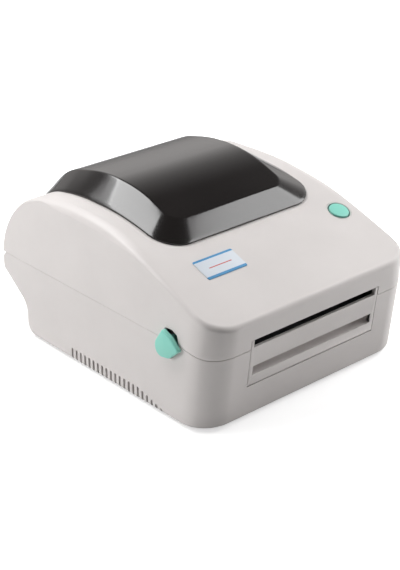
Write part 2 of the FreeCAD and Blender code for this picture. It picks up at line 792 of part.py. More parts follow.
def make_front_panel():
    """The panel between the label slot and the lower pocket, with two ears beside the slot."""
    back = S.panel_wall
    ear_top = S.slot_top - S.panel_gap
    face_line = outline(free_sketch("panel_face_line", "YZ_Plane"), [
        (front_at(S.panel_bottom), S.panel_bottom),
        (front_at(S.panel_bottom) + back, S.panel_bottom),
        (front_at(ear_top) + back, ear_top),
        (front_at(ear_top), ear_top),
    ])
    face = extrude("panel_face", face_line, S.panel_half * 2, True)
    flange_line = outline(free_sketch("panel_flange_line", "YZ_Plane"), [
        (front_at(S.panel_bottom + 2) + back - 0.2, S.panel_bottom + 2),
        (front_at(S.panel_bottom + 2) + back + 2, S.panel_bottom + 2),
        (front_at(S.slot_bottom - 3) + back + 2, S.slot_bottom - 3),
        (front_at(S.slot_bottom - 3) + back - 0.2, S.slot_bottom - 3),
    ])
    core = extrude("panel_core", flange_line, S.panel_half * 2, True)
    wing_line = outline(free_sketch("panel_wing_line", "YZ_Plane"), [
        (front_at(S.panel_bottom + 4) + S.wall + 0.3, S.panel_bottom + 4),
        (front_at(S.panel_bottom + 4) + S.wall + 2, S.panel_bottom + 4),
        (front_at(S.slot_bottom - 6) + S.wall + 2, S.slot_bottom - 6),
        (front_at(S.slot_bottom - 6) + S.wall + 0.3, S.slot_bottom - 6),
    ])
    wings = extrude("panel_wings", wing_line, (S.panel_half + 3) * 2, True)
    mouth_y = front_at(S.pocket_bottom)
    housing = box("pocket_housing", (-(S.slot_half + 1), S.slot_half + 1),
                  (mouth_y + 1, mouth_y + S.pocket_depth + 1.5), (S.pocket_bottom - 1.6, S.pocket_top + 1.5))
    whole = fuse("panel_whole", [face, core, wings, housing])
    slot_cut = box("panel_slot_cut", (-S.slot_half, S.slot_half), (front_y - 5, front_y + 20),
                   (S.slot_bottom, S.slot_top + 5))
    pocket_line = outline(free_sketch("pocket_line", "YZ_Plane"), [
        (mouth_y - 3, S.pocket_bottom - 0.4),
        (mouth_y, S.pocket_bottom),
        (mouth_y + S.pocket_depth, S.pocket_bottom + S.pocket_rise),
        (mouth_y + S.pocket_depth, S.pocket_top),
        (mouth_y - 3, S.pocket_top),
    ])
    hollow = extrude("pocket_hollow", pocket_line, (S.slot_half - 1) * 2, True)
    publish(cut("front_panel_solid", whole, [slot_cut, hollow]), "front_panel")


def make_base():
    base = new_body("base_plate", (0, 0, S.foot_gap - S.plinth_thickness))
    edge = half_width - S.plinth_inset
    front_edge = front_at(S.foot_gap) + 5
    rectangle(body_sketch(base, "plinth_line", "XY_Plane"), (-edge, edge),
              (front_edge, skirt_y - S.skirt_round), 10)
    pad(base, doc.getObject("plinth_line"), S.plinth_thickness)
    for i, (across, along) in enumerate(both_sides(plinth_screw_places)):
        hole = body_sketch(base, f"plinth_screw_{i}", "XY_Plane")
        circle(hole, across, along, S.screw_radius + S.screw_gap)
        pocket(base, hole)
    places = [(edge - 13, front_edge + 13), (edge - 13, skirt_y - S.skirt_round - 13)]
    top = S.foot_gap - S.plinth_thickness
    feet = standing("foot", places, (top - S.foot_height, top), S.foot_radius)
    publish(group("feet_group", feet), "rubber_feet")


# ---------------------------------------------------------------- label tray

def make_tray():
    start = front_y + 31
    rear = rear_y - 8
    rear_lip = S.seam_level - 7
    tray = new_body("label_tray")
    section = body_sketch(tray, "tray_section", "YZ_Plane")
    low = S.tray_wall
    outline(section, [
        (start, S.tray_lip),
        (start, S.tray_lip - low),
        (-31, S.tray_lip - 6 - low, 3),
        (-28.5, S.tray_floor - low, 26),
        (72.5, S.tray_floor - low, 26),
        (74.5, rear_lip - 2 - low, 3),
        (rear, rear_lip - low),
        (rear, rear_lip),
        (72.2, rear_lip - 1.9, 3),
        (70, S.tray_floor, 24),
        (-26, S.tray_floor, 24),
        (-28.5, S.tray_lip - 5.9, 3),
    ])
    pad(tray, section, S.tray_half * 2, symmetric=True)
    for i, side in enumerate((1, -1)):
        wall_sketch = body_sketch(tray, f"tray_side_{i}", "YZ_Plane", side * (S.tray_half - S.tray_wall / 2))
        outline(wall_sketch, [
            (start + 3, S.tray_lip - low),
            (-30.5, S.tray_lip - 6 - low),
            (-28, S.tray_floor - 1, 26),
            (72, S.tray_floor - 1, 26),
            (74, rear_lip - 2 - low),
            (rear, rear_lip - low),
            (rear, rear_lip + 5),
            (start + 3, S.tray_lip),
        ])
        pad(tray, wall_sketch, S.tray_wall, symmetric=True)
    for i, (across, along) in enumerate(tray_screw_places):
        for side in (1, -1):
            tag = "right" if side > 0 else "left"
            ear = body_sketch(tray, f"tray_ear_{tag}_{i}", "XY_Plane", tray_ear_z)
            ends = sorted((side * (S.tray_half - 1), side * (across + 5)), key=lambda end: end.number)
            rectangle(ear, ends, (along - 5, along + 5))
            pad(tray, ear, 2.5)
    for i, side in enumerate((1, -1)):
        lug = body_sketch(tray, f"rail_lug_{i}", "YZ_Plane", side * (S.tray_half - S.tray_wall / 2))
        rectangle(lug, (sensor_y - 3, sensor_y + 3), (S.sensor_level - 3, S.sensor_level + 4))
        pad(tray, lug, S.tray_wall, symmetric=True)
    for i, (across, along) in enumerate(both_sides(tray_screw_places)):
        hole = circle(body_sketch(tray, f"tray_screw_{i}", "XY_Plane", tray_ear_z + 4),
                      across, along, S.screw_radius + S.screw_gap)
        pocket(tray, hole, 8)
    slot_end = S.guide_half + S.guide_plate + 0.6
    slot_start = S.guide_half - S.guide_travel - 1.6
    for i, side in enumerate((-1, 1)):
        slot = body_sketch(tray, f"guide_slot_{i}", "XY_Plane", S.tray_floor + 2)
        rack_y = S.core_y - side * (rack_offset + 2)
        ends = (-slot_end, -slot_start) if side < 0 else (slot_start, slot_end)
        rectangle(slot, ends, (rack_y - 2, rack_y + 2))
        pocket(tray, slot, 8)
    window = body_sketch(tray, "sensor_window", "XY_Plane", S.tray_lip + 1)
    rectangle(window, (-48, 48), (sensor_y - 4, sensor_y + 4))
    pocket(tray, window, 8)
    rail_bore = circle(body_sketch(tray, "rail_bore", "YZ_Plane"), sensor_y, S.sensor_level,
                       S.sensor_rail_radius)
    pocket(tray, rail_bore)


def make_sensor():
    publish(rod("sensor_rail_rod", "x", (sensor_y, S.sensor_level),
                (-S.tray_half, S.tray_half), S.sensor_rail_radius), "sensor_rail")
    carriage = new_body("sensor_carriage", (0, sensor_y, S.sensor_level))
    block = body_sketch(carriage, "carriage_block", "YZ_Plane")
    rectangle(block, (-3.6, 3.6), (-3, 4.4), 0.6)
    pad(carriage, block, 12, symmetric=True)
    bore = circle(body_sketch(carriage, "carriage_bore", "YZ_Plane"), 0, 0,
                  S.sensor_rail_radius + S.running_gap)
    pocket(carriage, bore)
    eye = circle(body_sketch(carriage, "carriage_eye", "XY_Plane", 3.9), 0, 0, 1)
    pocket(carriage, eye, 3, reversed_way=True)


# ---------------------------------------------------------------- label guides

rack_offset = S.gear_module * S.guide_teeth / 2 + 1.15 * S.gear_module
tooth_pitch = math.pi * S.gear_module


def tooth(sketch, root, tip, middle=0):
    """One trapezoid tooth, thinner than half the pitch, so that it runs with backlash."""
    module = S.gear_module
    wide = 0.95 * module
    narrow = 0.36 * module
    return outline(sketch, [
        (root, middle - wide), (tip, middle - narrow), (tip, middle + narrow), (root, middle + wide)])


def make_guide(label, side):
    """A side fence with its core hub, its stem through the tray and its rack underneath."""
    rack_y = S.core_y - side * (rack_offset + 2)
    guide = new_body(label)
    face_x = side * (S.guide_half + S.guide_plate / 2)
    fence = body_sketch(guide, label + "_fence", "YZ_Plane", face_x)
    outline(fence, [
        (S.core_y - 17, S.tray_floor + 4),
        (S.core_y + 17, S.tray_floor + 4),
        (S.core_y + 28, S.tray_floor + 16, 4),
        (S.core_y + 17, S.core_level + 15, 14),
        (S.core_y - 17, S.core_level + 15, 14),
        (S.core_y - 28, S.tray_floor + 16, 4),
    ])
    pad(guide, fence, S.guide_plate, symmetric=True)
    hub = circle(body_sketch(guide, label + "_hub", "YZ_Plane", side * (S.guide_half - 1.8)),
                 S.core_y, S.core_level, S.core_radius)
    pad(guide, hub, 4, symmetric=True)
    stem = body_sketch(guide, label + "_stem", "YZ_Plane", side * (S.guide_half + 0.5))
    rectangle(stem, (rack_y - 1.7, rack_y + 1.7), (S.rack_bottom, S.tray_floor + 6))
    pad(guide, stem, 3, symmetric=True)
    rack = body_sketch(guide, label + "_rack", "XY_Plane", S.rack_bottom)
    far = (-(S.guide_half + 2), 10) if side < 0 else (-10, S.guide_half + 2)
    rectangle(rack, far, (rack_y - 2, rack_y + 2))
    pad(guide, rack, S.rack_height)
    # the pinion meets a tooth gap at X = 0, so a tooth stands half a pitch either side of it
    teeth = body_sketch(guide, label + "_tooth", "XY_Plane", S.rack_bottom)
    root_y = rack_y + side * 1.9
    tip_y = S.core_y - side * (S.gear_module * S.guide_teeth / 2 - 0.85 * S.gear_module)
    first = -2.5 * side * tooth_pitch
    module = S.gear_module
    outline(teeth, [
        (first - 0.95 * module, root_y), (first + 0.95 * module, root_y),
        (first + 0.36 * module, tip_y), (first - 0.36 * module, tip_y)])
    one = pad(guide, teeth, S.rack_height)
    row = guide.newObject("PartDesign::LinearPattern", label + "_row")
    row.Originals = [one]
    row.Direction = (origin_axis(guide, "X_Axis"), [""])
    row.Reversed = side < 0
    row.Mode = "Spacing"
    bind(row, "Offset", tooth_pitch)
    bind(row, "Occurrences", 14)
    guide.Tip = row


def gear(label, teeth, bore, width, at, phase, plane="YZ_Plane", axis="X_Axis", turn_axis=(1, 0, 0)):
    """A spur gear with trapezoid teeth; the first tooth stands at the phase angle."""
    wheel = new_body(label, at)
    wheel.Placement.Rotation = FreeCAD.Rotation(FreeCAD.Vector(*turn_axis), 1)
    bind(wheel, "Placement.Rotation.Angle", phase)
    pitch_radius = S.gear_module * teeth / 2
    root = pitch_radius - 1.15 * S.gear_module
    disc = circle(body_sketch(wheel, label + "_disc", plane), 0, 0, root)
    pad(wheel, disc, width)
    blank = body_sketch(wheel, label + "_tooth", plane)
    tooth(blank, root - 0.4 * S.gear_module, pitch_radius + 0.85 * S.gear_module)
    one = pad(wheel, blank, width)
    ring = wheel.newObject("PartDesign::PolarPattern", label + "_teeth")
    ring.Originals = [one]
    ring.Axis = (origin_axis(wheel, axis), [""])
    bind(ring, "Angle", 360)
    bind(ring, "Occurrences", teeth)
    wheel.Tip = ring
    if bore is not None:
        pocket(wheel, circle(body_sketch(wheel, label + "_bore", plane), 0, 0, bore))
    return wheel


def make_guides():
    make_guide("label_guide_left", -1)
    make_guide("label_guide_right", 1)
    gear("guide_pinion", S.guide_teeth, as_size(2.05), S.rack_height,
         (0, S.core_y, S.rack_bottom), as_size(90), "XY_Plane", "Z_Axis", (0, 0, 1))
    post = rod("pinion_post_rod", "z", (0, S.core_y), (S.rack_bottom - 1, S.tray_floor - S.tray_wall), 2)
    head = rod("pinion_post_head", "z", (0, S.core_y), (S.rack_bottom - 2.2, S.rack_bottom - 0.4), 3.5)
    publish(fuse("pinion_post_solid", [post, head]), "pinion_post")


# ---------------------------------------------------------------- drive

idler_reach = S.gear_module * (S.platen_teeth + S.idler_teeth) / 2
pinion_reach = S.gear_module * (S.idler_teeth + S.pinion_teeth) / 2
idler_y = platen_y + idler_reach * cosine(S.idler_angle)
idler_z = S.platen_level - idler_reach * sine(S.idler_angle)
motor_y = idler_y + pinion_reach * cosine(S.pinion_angle)
motor_z = idler_z - pinion_reach * sine(S.pinion_angle)


def make_drive():
    half = S.platen_half
    roller = rod("roller_blank", "x", (platen_y, S.platen_level), (-half, half), S.platen_radius)
    core = rod("roller_core", "x", (platen_y, S.platen_level), (-half - 1, half + 1), S.shaft_radius)
    publish(cut("roller_solid", roller, [core]), "platen_roller")
    gear_right = S.gear_left + S.gear_width
    publish(rod("platen_shaft_rod", "x", (platen_y, S.platen_level),
                (-(S.plate_half + 6), gear_right + 2), S.shaft_radius), "platen_shaft")
    # mesh: a tooth of the idler points at the platen gear, which turns a gap to it
    idler_phase = 180 - S.idler_angle
    platen_phase = -S.idler_angle + as_size(180) / S.platen_teeth
    gear("platen_gear", S.platen_teeth, S.shaft_radius, S.gear_width,
         (S.gear_left, platen_y, S.platen_level), platen_phase)
    gear("idler_gear", S.idler_teeth, S.idler_pin_radius + S.running_gap, S.gear_width,
         (S.gear_left, idler_y, idler_z), idler_phase)
    # the idler's tooth nearest the pinion, counted from its phase, leaves a remainder to match
    to_pinion = -S.pinion_angle
    pitch_idler = as_size(360) / S.idler_teeth
    steps = math.floor((to_pinion.number - idler_phase.number) / pitch_idler.number + 0.5)
    remainder = to_pinion - idler_phase - pitch_idler * steps
    pinion_phase = to_pinion + 180 + remainder * S.idler_teeth / S.pinion_teeth \
        + as_size(180) / S.pinion_teeth
    pinion = gear("motor_pinion", S.pinion_teeth, None, S.gear_width,
                  (S.gear_left, motor_y, motor_z), pinion_phase)
    shaft = circle(body_sketch(pinion, "motor_shaft", "YZ_Plane", -22), 0, 0, S.motor_shaft_radius)
    pad(pinion, shaft, 30)
    pin = rod("idler_pin_rod", "x", (idler_y, idler_z), (S.plate_half, gear_right + 1.8), S.idler_pin_radius)
    cap = rod("idler_pin_cap", "x", (idler_y, idler_z), (gear_right + 0.4, gear_right + 1.4), 3.4)
    publish(fuse("idler_pin_solid", [pin, cap]), "idler_pin")
    bushes = []
    for i, side in enumerate((1, -1)):
        inner = S.plate_half - 0.8
        barrel = rod(f"bush_barrel_{i}", "x", (platen_y, S.platen_level),
                     (inner, S.plate_half + S.plate_thickness + 1.6), S.bush_radius)
        collar = rod(f"bush_collar_{i}", "x", (platen_y, S.platen_level),
                     (S.plate_half + S.plate_thickness, S.plate_half + S.plate_thickness + 1.6),
                     S.bush_radius + 1.5)
        bore = rod(f"bush_bore_{i}", "x", (platen_y, S.platen_level), (inner - 1, inner + 9),
                   S.shaft_radius + S.running_gap)
        bush = cut(f"bush_{i}", fuse(f"bush_blank_{i}", [barrel, collar]), [bore])
        bushes.append(bush if side > 0 else mirrored("bush_left", bush))
    publish(group("bush_pair", bushes), "platen_bearings")
    motor_case = box("motor_case", (S.plate_half - S.motor_length, S.plate_half),
                     (motor_y - S.motor_side / 2, motor_y + S.motor_side / 2),
                     (motor_z - S.motor_side / 2, motor_z + S.motor_side / 2))
    edges = doc.addObject("Part::Chamfer", "motor_edges")
    doc.recompute()
    edges.Base = motor_case
    long_edges = [i for i, edge in enumerate(motor_case.Shape.Edges, start=1)
                  if abs(edge.Vertexes[0].Y - edge.Vertexes[1].Y) < 1e-6
                  and abs(edge.Vertexes[0].Z - edge.Vertexes[1].Z) < 1e-6]
    edges.Edges = [(i, 2.5, 2.5) for i in long_edges]
    bore = rod("motor_bore", "x", (motor_y, motor_z), (S.gear_left - 23, S.plate_half + 1),
               S.motor_shaft_radius + S.running_gap)
    publish(cut("motor_solid", edges, [bore]), "stepper_motor")


def make_side_plate(label, side):
    """A pressed steel plate that carries the platen, the latch shaft and, on the right, the motor."""
    plate = new_body(label)
    top = S.seam_level - 1.6
    face = body_sketch(plate, label + "_face", "YZ_Plane", side * (S.plate_half + S.plate_thickness / 2))
    outline(face, [
        (front_y + 11.5, plate_foot_z),
        (motor_y + 18, plate_foot_z, 3),
        (motor_y + 18, S.latch_level - 6, 4),
        (latch_y + 8, top, 4),
        (front_y + 9.5, top, 4),
    ])
    pad(plate, face, S.plate_thickness, symmetric=True)
    foot = body_sketch(plate, label + "_foot", "XY_Plane", plate_foot_z)
    near = S.plate_half + S.plate_thickness / 2
    ends = (near, S.plate_half + 13) if side > 0 else (-(S.plate_half + 13), -near)
    rectangle(foot, ends, (platen_y - 8, platen_y + 52))
    pad(plate, foot, S.plate_thickness)
    openings = [(platen_y, S.platen_level, S.bush_radius), (latch_y, S.latch_level,
                                                            S.latch_radius + S.running_gap)]
    if side > 0:
        openings += [(idler_y, idler_z, S.idler_pin_radius), (motor_y, motor_z, S.motor_shaft_radius + 0.5)]
    for i, (along, level, radius) in enumerate(openings):
        hole = circle(body_sketch(plate, f"{label}_hole_{i}", "YZ_Plane"), along, level, radius)
        pocket(plate, hole)
    for i, (across, along) in enumerate(plate_screw_places):
        hole = circle(body_sketch(plate, f"{label}_screw_{i}", "XY_Plane"), side * across, along,
                      S.screw_radius + S.screw_gap)
        pocket(plate, hole)


# ---------------------------------------------------------------- latch

def make_latch():
    publish(rod("latch_shaft_rod", "x", (latch_y, S.latch_level),
                (-(half_width - 6), half_width - 6), S.latch_radius), "latch_shaft")
    for label, side in (("latch_hook_left", -1), ("latch_hook_right", 1)):
        hook = new_body(label, (0, latch_y, S.latch_level))
        arm = body_sketch(hook, label + "_arm", "YZ_Plane", side * (S.hook_half + S.hook_thickness / 2))
        rise = S.strike_level - S.latch_level
        outline(arm, [
            (-4.5, -4.5, 4), (4.5, -4.5, 4), (4.2, 2, 3), (3.2, rise - 4, 1), (4.2, rise - 2, 1),
            (3.4, rise + 3.2, 1), (-2, rise + 3.2, 3), (-4.5, 2, 3),
        ])
        pad(hook, arm, S.hook_thickness, symmetric=True)
        pocket(hook, circle(body_sketch(hook, label + "_bore", "YZ_Plane"), 0, 0, S.latch_radius))
    for label, side in (("release_lever_left", -1), ("release_lever_right", 1)):
        lever = new_body(label, (0, latch_y, S.latch_level))
        hub_x = half_width - 10
        stem_x = half_width - 6
        hub = circle(body_sketch(lever, label + "_hub", "YZ_Plane", side * hub_x), 0, 0, 5)
        pad(lever, hub, 5.5, reversed_way=side < 0)
        stem = body_sketch(lever, label + "_stem", "YZ_Plane", side * stem_x)
        outline(stem, [(-4, -1, 1), (4.5, -1, 1), (4.5, 9, 2), (-1, 12, 2), (-5, 6, 2)])
        pad(lever, stem, 6.6, reversed_way=side < 0)
        cap = body_sketch(lever, label + "_cap", "YZ_Plane", side * (half_width + 0.5))
        outline(cap, [(-12.2, 5.6, 1.6), (-2.5, -1.8, 3.5), (8.5, -2.5, 5), (11, 5, 4), (2.2, 17, 1.8)])
        pad(lever, cap, S.cap_thickness, reversed_way=side < 0)
        bore = circle(body_sketch(lever, label + "_bore", "YZ_Plane", side * (hub_x - 2)), 0, 0,
                      S.latch_radius)
        pocket(lever, bore, 6, reversed_way=side > 0)
    outer_face = -(S.plate_half + S.plate_thickness)
    coil = rod("latch_coil", "x", (latch_y, S.latch_level), (outer_face - 9, outer_face), S.latch_radius + 1.8)
    eye = rod("latch_coil_eye", "x", (latch_y, S.latch_level), (outer_face - 10, outer_face + 1),
              S.latch_radius + 0.6)
    publish(cut("latch_spring_solid", coil, [eye]), "latch_spring")


# ---------------------------------------------------------------- cover frame and head

frame_screw_places = [(as_size(68), front_y + 17), (as_size(50), front_y + 49)]


def make_cover_frame():
    frame = new_body("cover_frame")
    sheet_sketch = body_sketch(frame, "frame_sheet", "XY_Plane", S.frame_level)
    rectangle(sheet_sketch, (-S.frame_half, S.frame_half), (front_y + 12, front_y + 54), 4)
    pad(frame, sheet_sketch, S.frame_thickness)
    apron = body_sketch(frame, "frame_apron", "YZ_Plane")
    rectangle(apron, (front_y + 12, front_y + 13.5), (S.slot_top + 1.4, S.frame_level + 1))
    pad(frame, apron, S.slot_half * 2, symmetric=True)
    for i, side in enumerate((1, -1)):
        ear = body_sketch(frame, f"frame_ear_{i}", "YZ_Plane", side * (S.frame_half - 1))
        outline(ear, [(latch_y - 2, S.frame_level + 1), (latch_y + 2, S.strike_level - 3, 2),
                      (latch_y + 13, S.strike_level - 3, 2), (latch_y + 16, S.frame_level + 1)])
        pad(frame, ear, 2, symmetric=True)
        strike = circle(body_sketch(frame, f"frame_strike_hole_{i}", "YZ_Plane", side * (S.frame_half - 1)),
                        strike_y, S.strike_level, S.strike_radius)
        pocket(frame, strike, 4, symmetric=True)
        lug = body_sketch(frame, f"frame_lug_{i}", "YZ_Plane", side * (S.head_half + 5))
        outline(lug, [(pivot_y - 4, S.frame_level + 1), (pivot_y - 3, S.pivot_level - 3, 2.5),
                      (pivot_y + 3, S.pivot_level - 3, 2.5), (pivot_y + 4, S.frame_level + 1)])
        pad(frame, lug, 2, symmetric=True)
    pivot_hole = circle(body_sketch(frame, "frame_pivot_hole", "YZ_Plane"), pivot_y, S.pivot_level,
                        S.pivot_radius)
    pocket(frame, pivot_hole, (S.head_half + 8) * 2, symmetric=True)
    for i, (across, along) in enumerate(both_sides(frame_screw_places)):
        hole = circle(body_sketch(frame, f"frame_screw_{i}", "XY_Plane"), across, along,
                      S.screw_radius + S.screw_gap)
        pocket(frame, hole)
    strikes = []
    for i, side in enumerate((1, -1)):
        span = (S.hook_half - 1, S.frame_half) if side > 0 else (-S.frame_half, -(S.hook_half - 1))
        strikes.append(rod(f"strike_{i}", "x", (strike_y, S.strike_level), span, S.strike_radius))
    publish(group("strike_pair", strikes), "strike_pins")


strike_y = latch_y + 3.4 + S.strike_gap + S.strike_radius + 0.4
head_low = S.platen_level + S.platen_radius + S.head_gap
head_top = S.pivot_level - 1.5


def make_head():
    plate = new_body("head_plate")
    strip = body_sketch(plate, "head_plate_strip", "XY_Plane", head_low + 3.4)
    rectangle(strip, (-(S.head_half + 1), S.head_half + 1), (platen_y - 6, pivot_y + 3))
    pad(plate, strip, head_top - (head_low + 3.4))
    for i, side in enumerate((1, -1)):
        lug = body_sketch(plate, f"head_lug_{i}", "YZ_Plane", side * (S.head_half - 2))
        outline(lug, [(pivot_y - 3, head_low + 4), (pivot_y + 3, head_low + 4),
                      (pivot_y + 3, S.pivot_level + 3, 2.9), (pivot_y - 3, S.pivot_level + 3, 2.9)])
        pad(plate, lug, 4, symmetric=True)
    bore = circle(body_sketch(plate, "head_pivot_bore", "YZ_Plane"), pivot_y, S.pivot_level,
                  S.pivot_radius + S.running_gap)
    pocket(plate, bore)
    publish(box("print_head_strip", (-S.head_half, S.head_half), (platen_y - 5, platen_y + 7),
                (head_low, head_low + 3.4)), "print_head")
    publish(rod("head_pivot_rod", "x", (pivot_y, S.pivot_level),
                (-(S.head_half + 6), S.head_half + 6), S.pivot_radius), "head_pivot_pin")
    springs = []
    for i, side in enumerate((1, -1)):
        centre = (side * S.spring_half, platen_y + 1)
        coil = rod(f"head_coil_{i}", "z", centre, (head_top, S.frame_level), S.spring_radius)
        eye = rod(f"head_coil_eye_{i}", "z", centre, (head_top - 1, S.frame_level + 1),
                  S.spring_radius - S.spring_wire)
        springs.append(cut(f"head_spring_{i}", coil, [eye]))
    publish(group("head_spring_pair", springs), "head_springs")
    teeth = box("tear_bar_blade", (-S.slot_half, S.slot_half), (front_at(S.slot_top) + S.wall + 0.4,
                front_y + 13.5), (S.slot_top + 0.4, S.slot_top + 1.4))
    publish(teeth, "tear_bar")


# ---------------------------------------------------------------- hinge

def make_hinge():
    middle = (S.hinge_inner + S.hinge_outer) / 2
    plate_rear = rear_y - S.wall
    barrel_at = (hinge_y, hinge_z)
    outer_span = (middle + 0.2, S.hinge_outer)
    inner_span = (S.hinge_inner, middle - 0.2)
    case_barrel = rod("case_barrel", "x", barrel_at, outer_span, S.barrel_radius)
    case_plate = box("case_leaf_plate", (S.hinge_inner, S.hinge_outer),
                     (plate_rear - S.leaf_thickness, plate_rear - 0.25), (S.seam_level - 9, S.seam_level - 2.4))
    case_neck = box("case_leaf_neck", outer_span, (plate_rear - S.leaf_thickness, plate_rear - 0.25),
                    (S.seam_level - 3, hinge_z))
    case_hole = rod("case_pin_hole", "x", barrel_at, (S.hinge_inner - 1, S.hinge_outer + 1),
                    S.hinge_pin_radius)
    case_leaf = cut("case_leaf", fuse("case_leaf_blank", [case_barrel, case_plate, case_neck]), [case_hole])
    case_leaves = [case_leaf, mirrored("case_leaf_left", case_leaf)]
    cover_barrel = rod("cover_barrel", "x", barrel_at, inner_span, S.barrel_radius)
    # the cover's wall leans in above the hinge, so its leaf stands further forward
    leaf_rear = plate_rear - 1.5
    cover_plate = box("cover_leaf_plate", inner_span, (leaf_rear - S.leaf_thickness, leaf_rear),
                      (hinge_z + 0.2, hinge_z + 7))
    cover_neck = box("cover_leaf_neck", inner_span, (leaf_rear - S.leaf_thickness, hinge_y),
                     (hinge_z + 0.2, hinge_z + S.barrel_radius))
    cover_hole = rod("cover_pin_hole", "x", barrel_at, (S.hinge_inner - 1, S.hinge_outer + 1),
                     S.hinge_pin_radius + S.running_gap)
    cover_leaf = cut("cover_leaf", fuse("cover_leaf_blank", [cover_barrel, cover_plate, cover_neck]), [cover_hole])
    cover_leaves = [cover_leaf, mirrored("cover_leaf_left", cover_leaf)]
    pin = rod("hinge_pin_rod", "x", barrel_at, (S.hinge_inner + 0.3, S.hinge_outer - 0.3),
              S.hinge_pin_radius)
    pins = [pin, mirrored("hinge_pin_left", pin)]
    publish(group("case_leaf_pair", case_leaves), "hinge_leaves_case")
    publish(group("cover_leaf_pair", cover_leaves), "hinge_leaves_cover")
    publish(group("hinge_pin_pair", pins), "hinge_pins")


# ---------------------------------------------------------------- board, sockets and switch

def make_electrics():
    top = S.board_level + S.board_thickness
    board = new_body("main_board", (0, 0, S.board_level))
    rear = skirt_y - S.wall - 0.8
    rectangle(body_sketch(board, "board_line", "XY_Plane"), (-S.board_half, S.board_half), (36, rear), 1.5)
    pad(board, doc.getObject("board_line"), S.board_thickness)
    chips = ((-24, 48, 9, 9, 1.6), (6, 50, 12, 12, 2), (26, 60, 7, 5, 1.8), (14, 68, 4, 4, 6))
    for i, (across, along, wide, deep, tall) in enumerate(chips):
        chip = body_sketch(board, f"board_chip_{i}", "XY_Plane", S.board_thickness - 0.1)
        rectangle(chip, (across - wide / 2, across + wide / 2), (along - deep / 2, along + deep / 2))
        pad(board, chip, tall)
    for i, (across, along) in enumerate(both_sides(board_screw_places)):
        hole = circle(body_sketch(board, f"board_screw_{i}", "XY_Plane"), across, along,
                      S.screw_radius + S.screw_gap)
        pocket(board, hole)
    mouth = skirt_y - 0.4
    usb_shell = box("usb_shell", (S.port_x - 6, S.port_x + 6), (mouth - 14, mouth), (top, top + 11))
    usb_hollow = box("usb_hollow", (S.port_x - 4.3, S.port_x + 4.3), (mouth - 9, mouth + 1),
                     (top + 1.6, top + 9.4))
    usb_tongue = box("usb_tongue", (S.port_x - 2.8, S.port_x + 2.8), (mouth - 10, mouth - 4.8),
                     (top + 3.9, top + 7.1))
    publish(fuse("usb_solid", [cut("usb_open", usb_shell, [usb_hollow]), usb_tongue]), "usb_socket")
    jack_block = box("jack_block", (S.jack_x - 4.5, S.jack_x + 4.5), (mouth - 14, mouth), (top, top + 11))
    jack_bore = rod("jack_bore", "y", (S.jack_x, top + 5.8), (mouth - 10, mouth + 1), 3.2)
    jack_pin = rod("jack_pin", "y", (S.jack_x, top + 5.8), (mouth - 11, mouth - 4.8), 1)
    publish(fuse("jack_solid", [cut("jack_open", jack_block, [jack_bore]), jack_pin]), "power_socket")

    flange = box("switch_flange", (S.switch_x - 8.5, S.switch_x + 8.5), (skirt_y + 0.05, skirt_y + 1.2),
                 (S.switch_level - 6.6, S.switch_level + 6.6))
    block = box("switch_block", (S.switch_x - 7, S.switch_x + 7), (skirt_y - 14, skirt_y + 0.1),
                (S.switch_level - 5.8, S.switch_level + 5.8))
    well = box("switch_well", (S.switch_x - 5.2, S.switch_x + 5.2), (skirt_y - 8.5, skirt_y + 3),
               (S.switch_level - 5, S.switch_level + 5))
    rock_y = skirt_y - 4
    trunnion_hole = rod("trunnion_hole", "x", (rock_y, S.switch_level),
                        (S.switch_x - 6.2, S.switch_x + 6.2), 1 + S.running_gap)
    publish(cut("switch_solid", fuse("switch_blank", [flange, block]), [well, trunnion_hole]),
            "power_switch")
    rocker = new_body("power_rocker", (S.switch_x, rock_y, S.switch_level), S.rocker_tilt)
    outline(body_sketch(rocker, "rocker_side", "YZ_Plane"), [
        (-3, -3, 1), (0, -4.2, 1), (6, -4, 0.5), (5, 0, 12), (6, 4, 0.5), (0, 4.2, 1), (-3, 3, 1)])
    pad(rocker, doc.getObject("rocker_side"), 9.8, symmetric=True)
    trunnion = circle(body_sketch(rocker, "rocker_trunnion", "YZ_Plane"), 0, 0, 1)
    pad(rocker, trunnion, 12, symmetric=True)


# ---------------------------------------------------------------- screws

def screws(prefix, places, seat, down, up_from_below=False):
    """Pan-head screws whose heads rest on a seat and whose shanks reach into the boss."""
    made = []
    for i, (across, along) in enumerate(both_sides(places)):
        shank_span = (seat, seat + down) if up_from_below else (seat - down, seat)
        head_span = (seat - S.screw_head, seat) if up_from_below else (seat, seat + S.screw_head)
        shank = rod(f"{prefix}_shank_{i}", "z", (across, along), shank_span, S.screw_radius)
        head = rod(f"{prefix}_head_{i}", "z", (across, along), head_span, S.screw_head_radius)
        made.append(fuse(f"{prefix}_{i}", [shank, head]))
    return made


def make_screws():
    plate_seat = plate_foot_z + S.plate_thickness
    mechanism = screws("plate_screw", plate_screw_places, plate_seat, 5)
    mechanism += screws("tray_screw", tray_screw_places, tray_ear_z + 2.5, 8)
    publish(group("mechanism_screw_set", mechanism), "mechanism_screws")
    publish(group("board_screw_set", screws("board_screw", board_screw_places,
                                            S.board_level + S.board_thickness, 4.5)), "board_screws")
    plinth_seat = S.foot_gap - S.plinth_thickness
    low = [rod(f"plinth_fix_{i}", "z", place, (plinth_seat, floor_z + 2), S.screw_radius)
           for i, place in enumerate(both_sides(plinth_screw_places))]
    heads = [rod(f"plinth_fix_head_{i}", "z", place, (plinth_seat - 0.9, plinth_seat), S.screw_head_radius)
             for i, place in enumerate(both_sides(plinth_screw_places))]
    base = [fuse(f"base_screw_{i}", list(pair)) for i, pair in enumerate(zip(low, heads))]
    publish(group("base_screw_set", base), "base_screws")
    publish(group("cover_screw_set", screws("cover_screw", frame_screw_places, S.frame_level, 6,
                                            up_from_below=True)), "cover_screws")


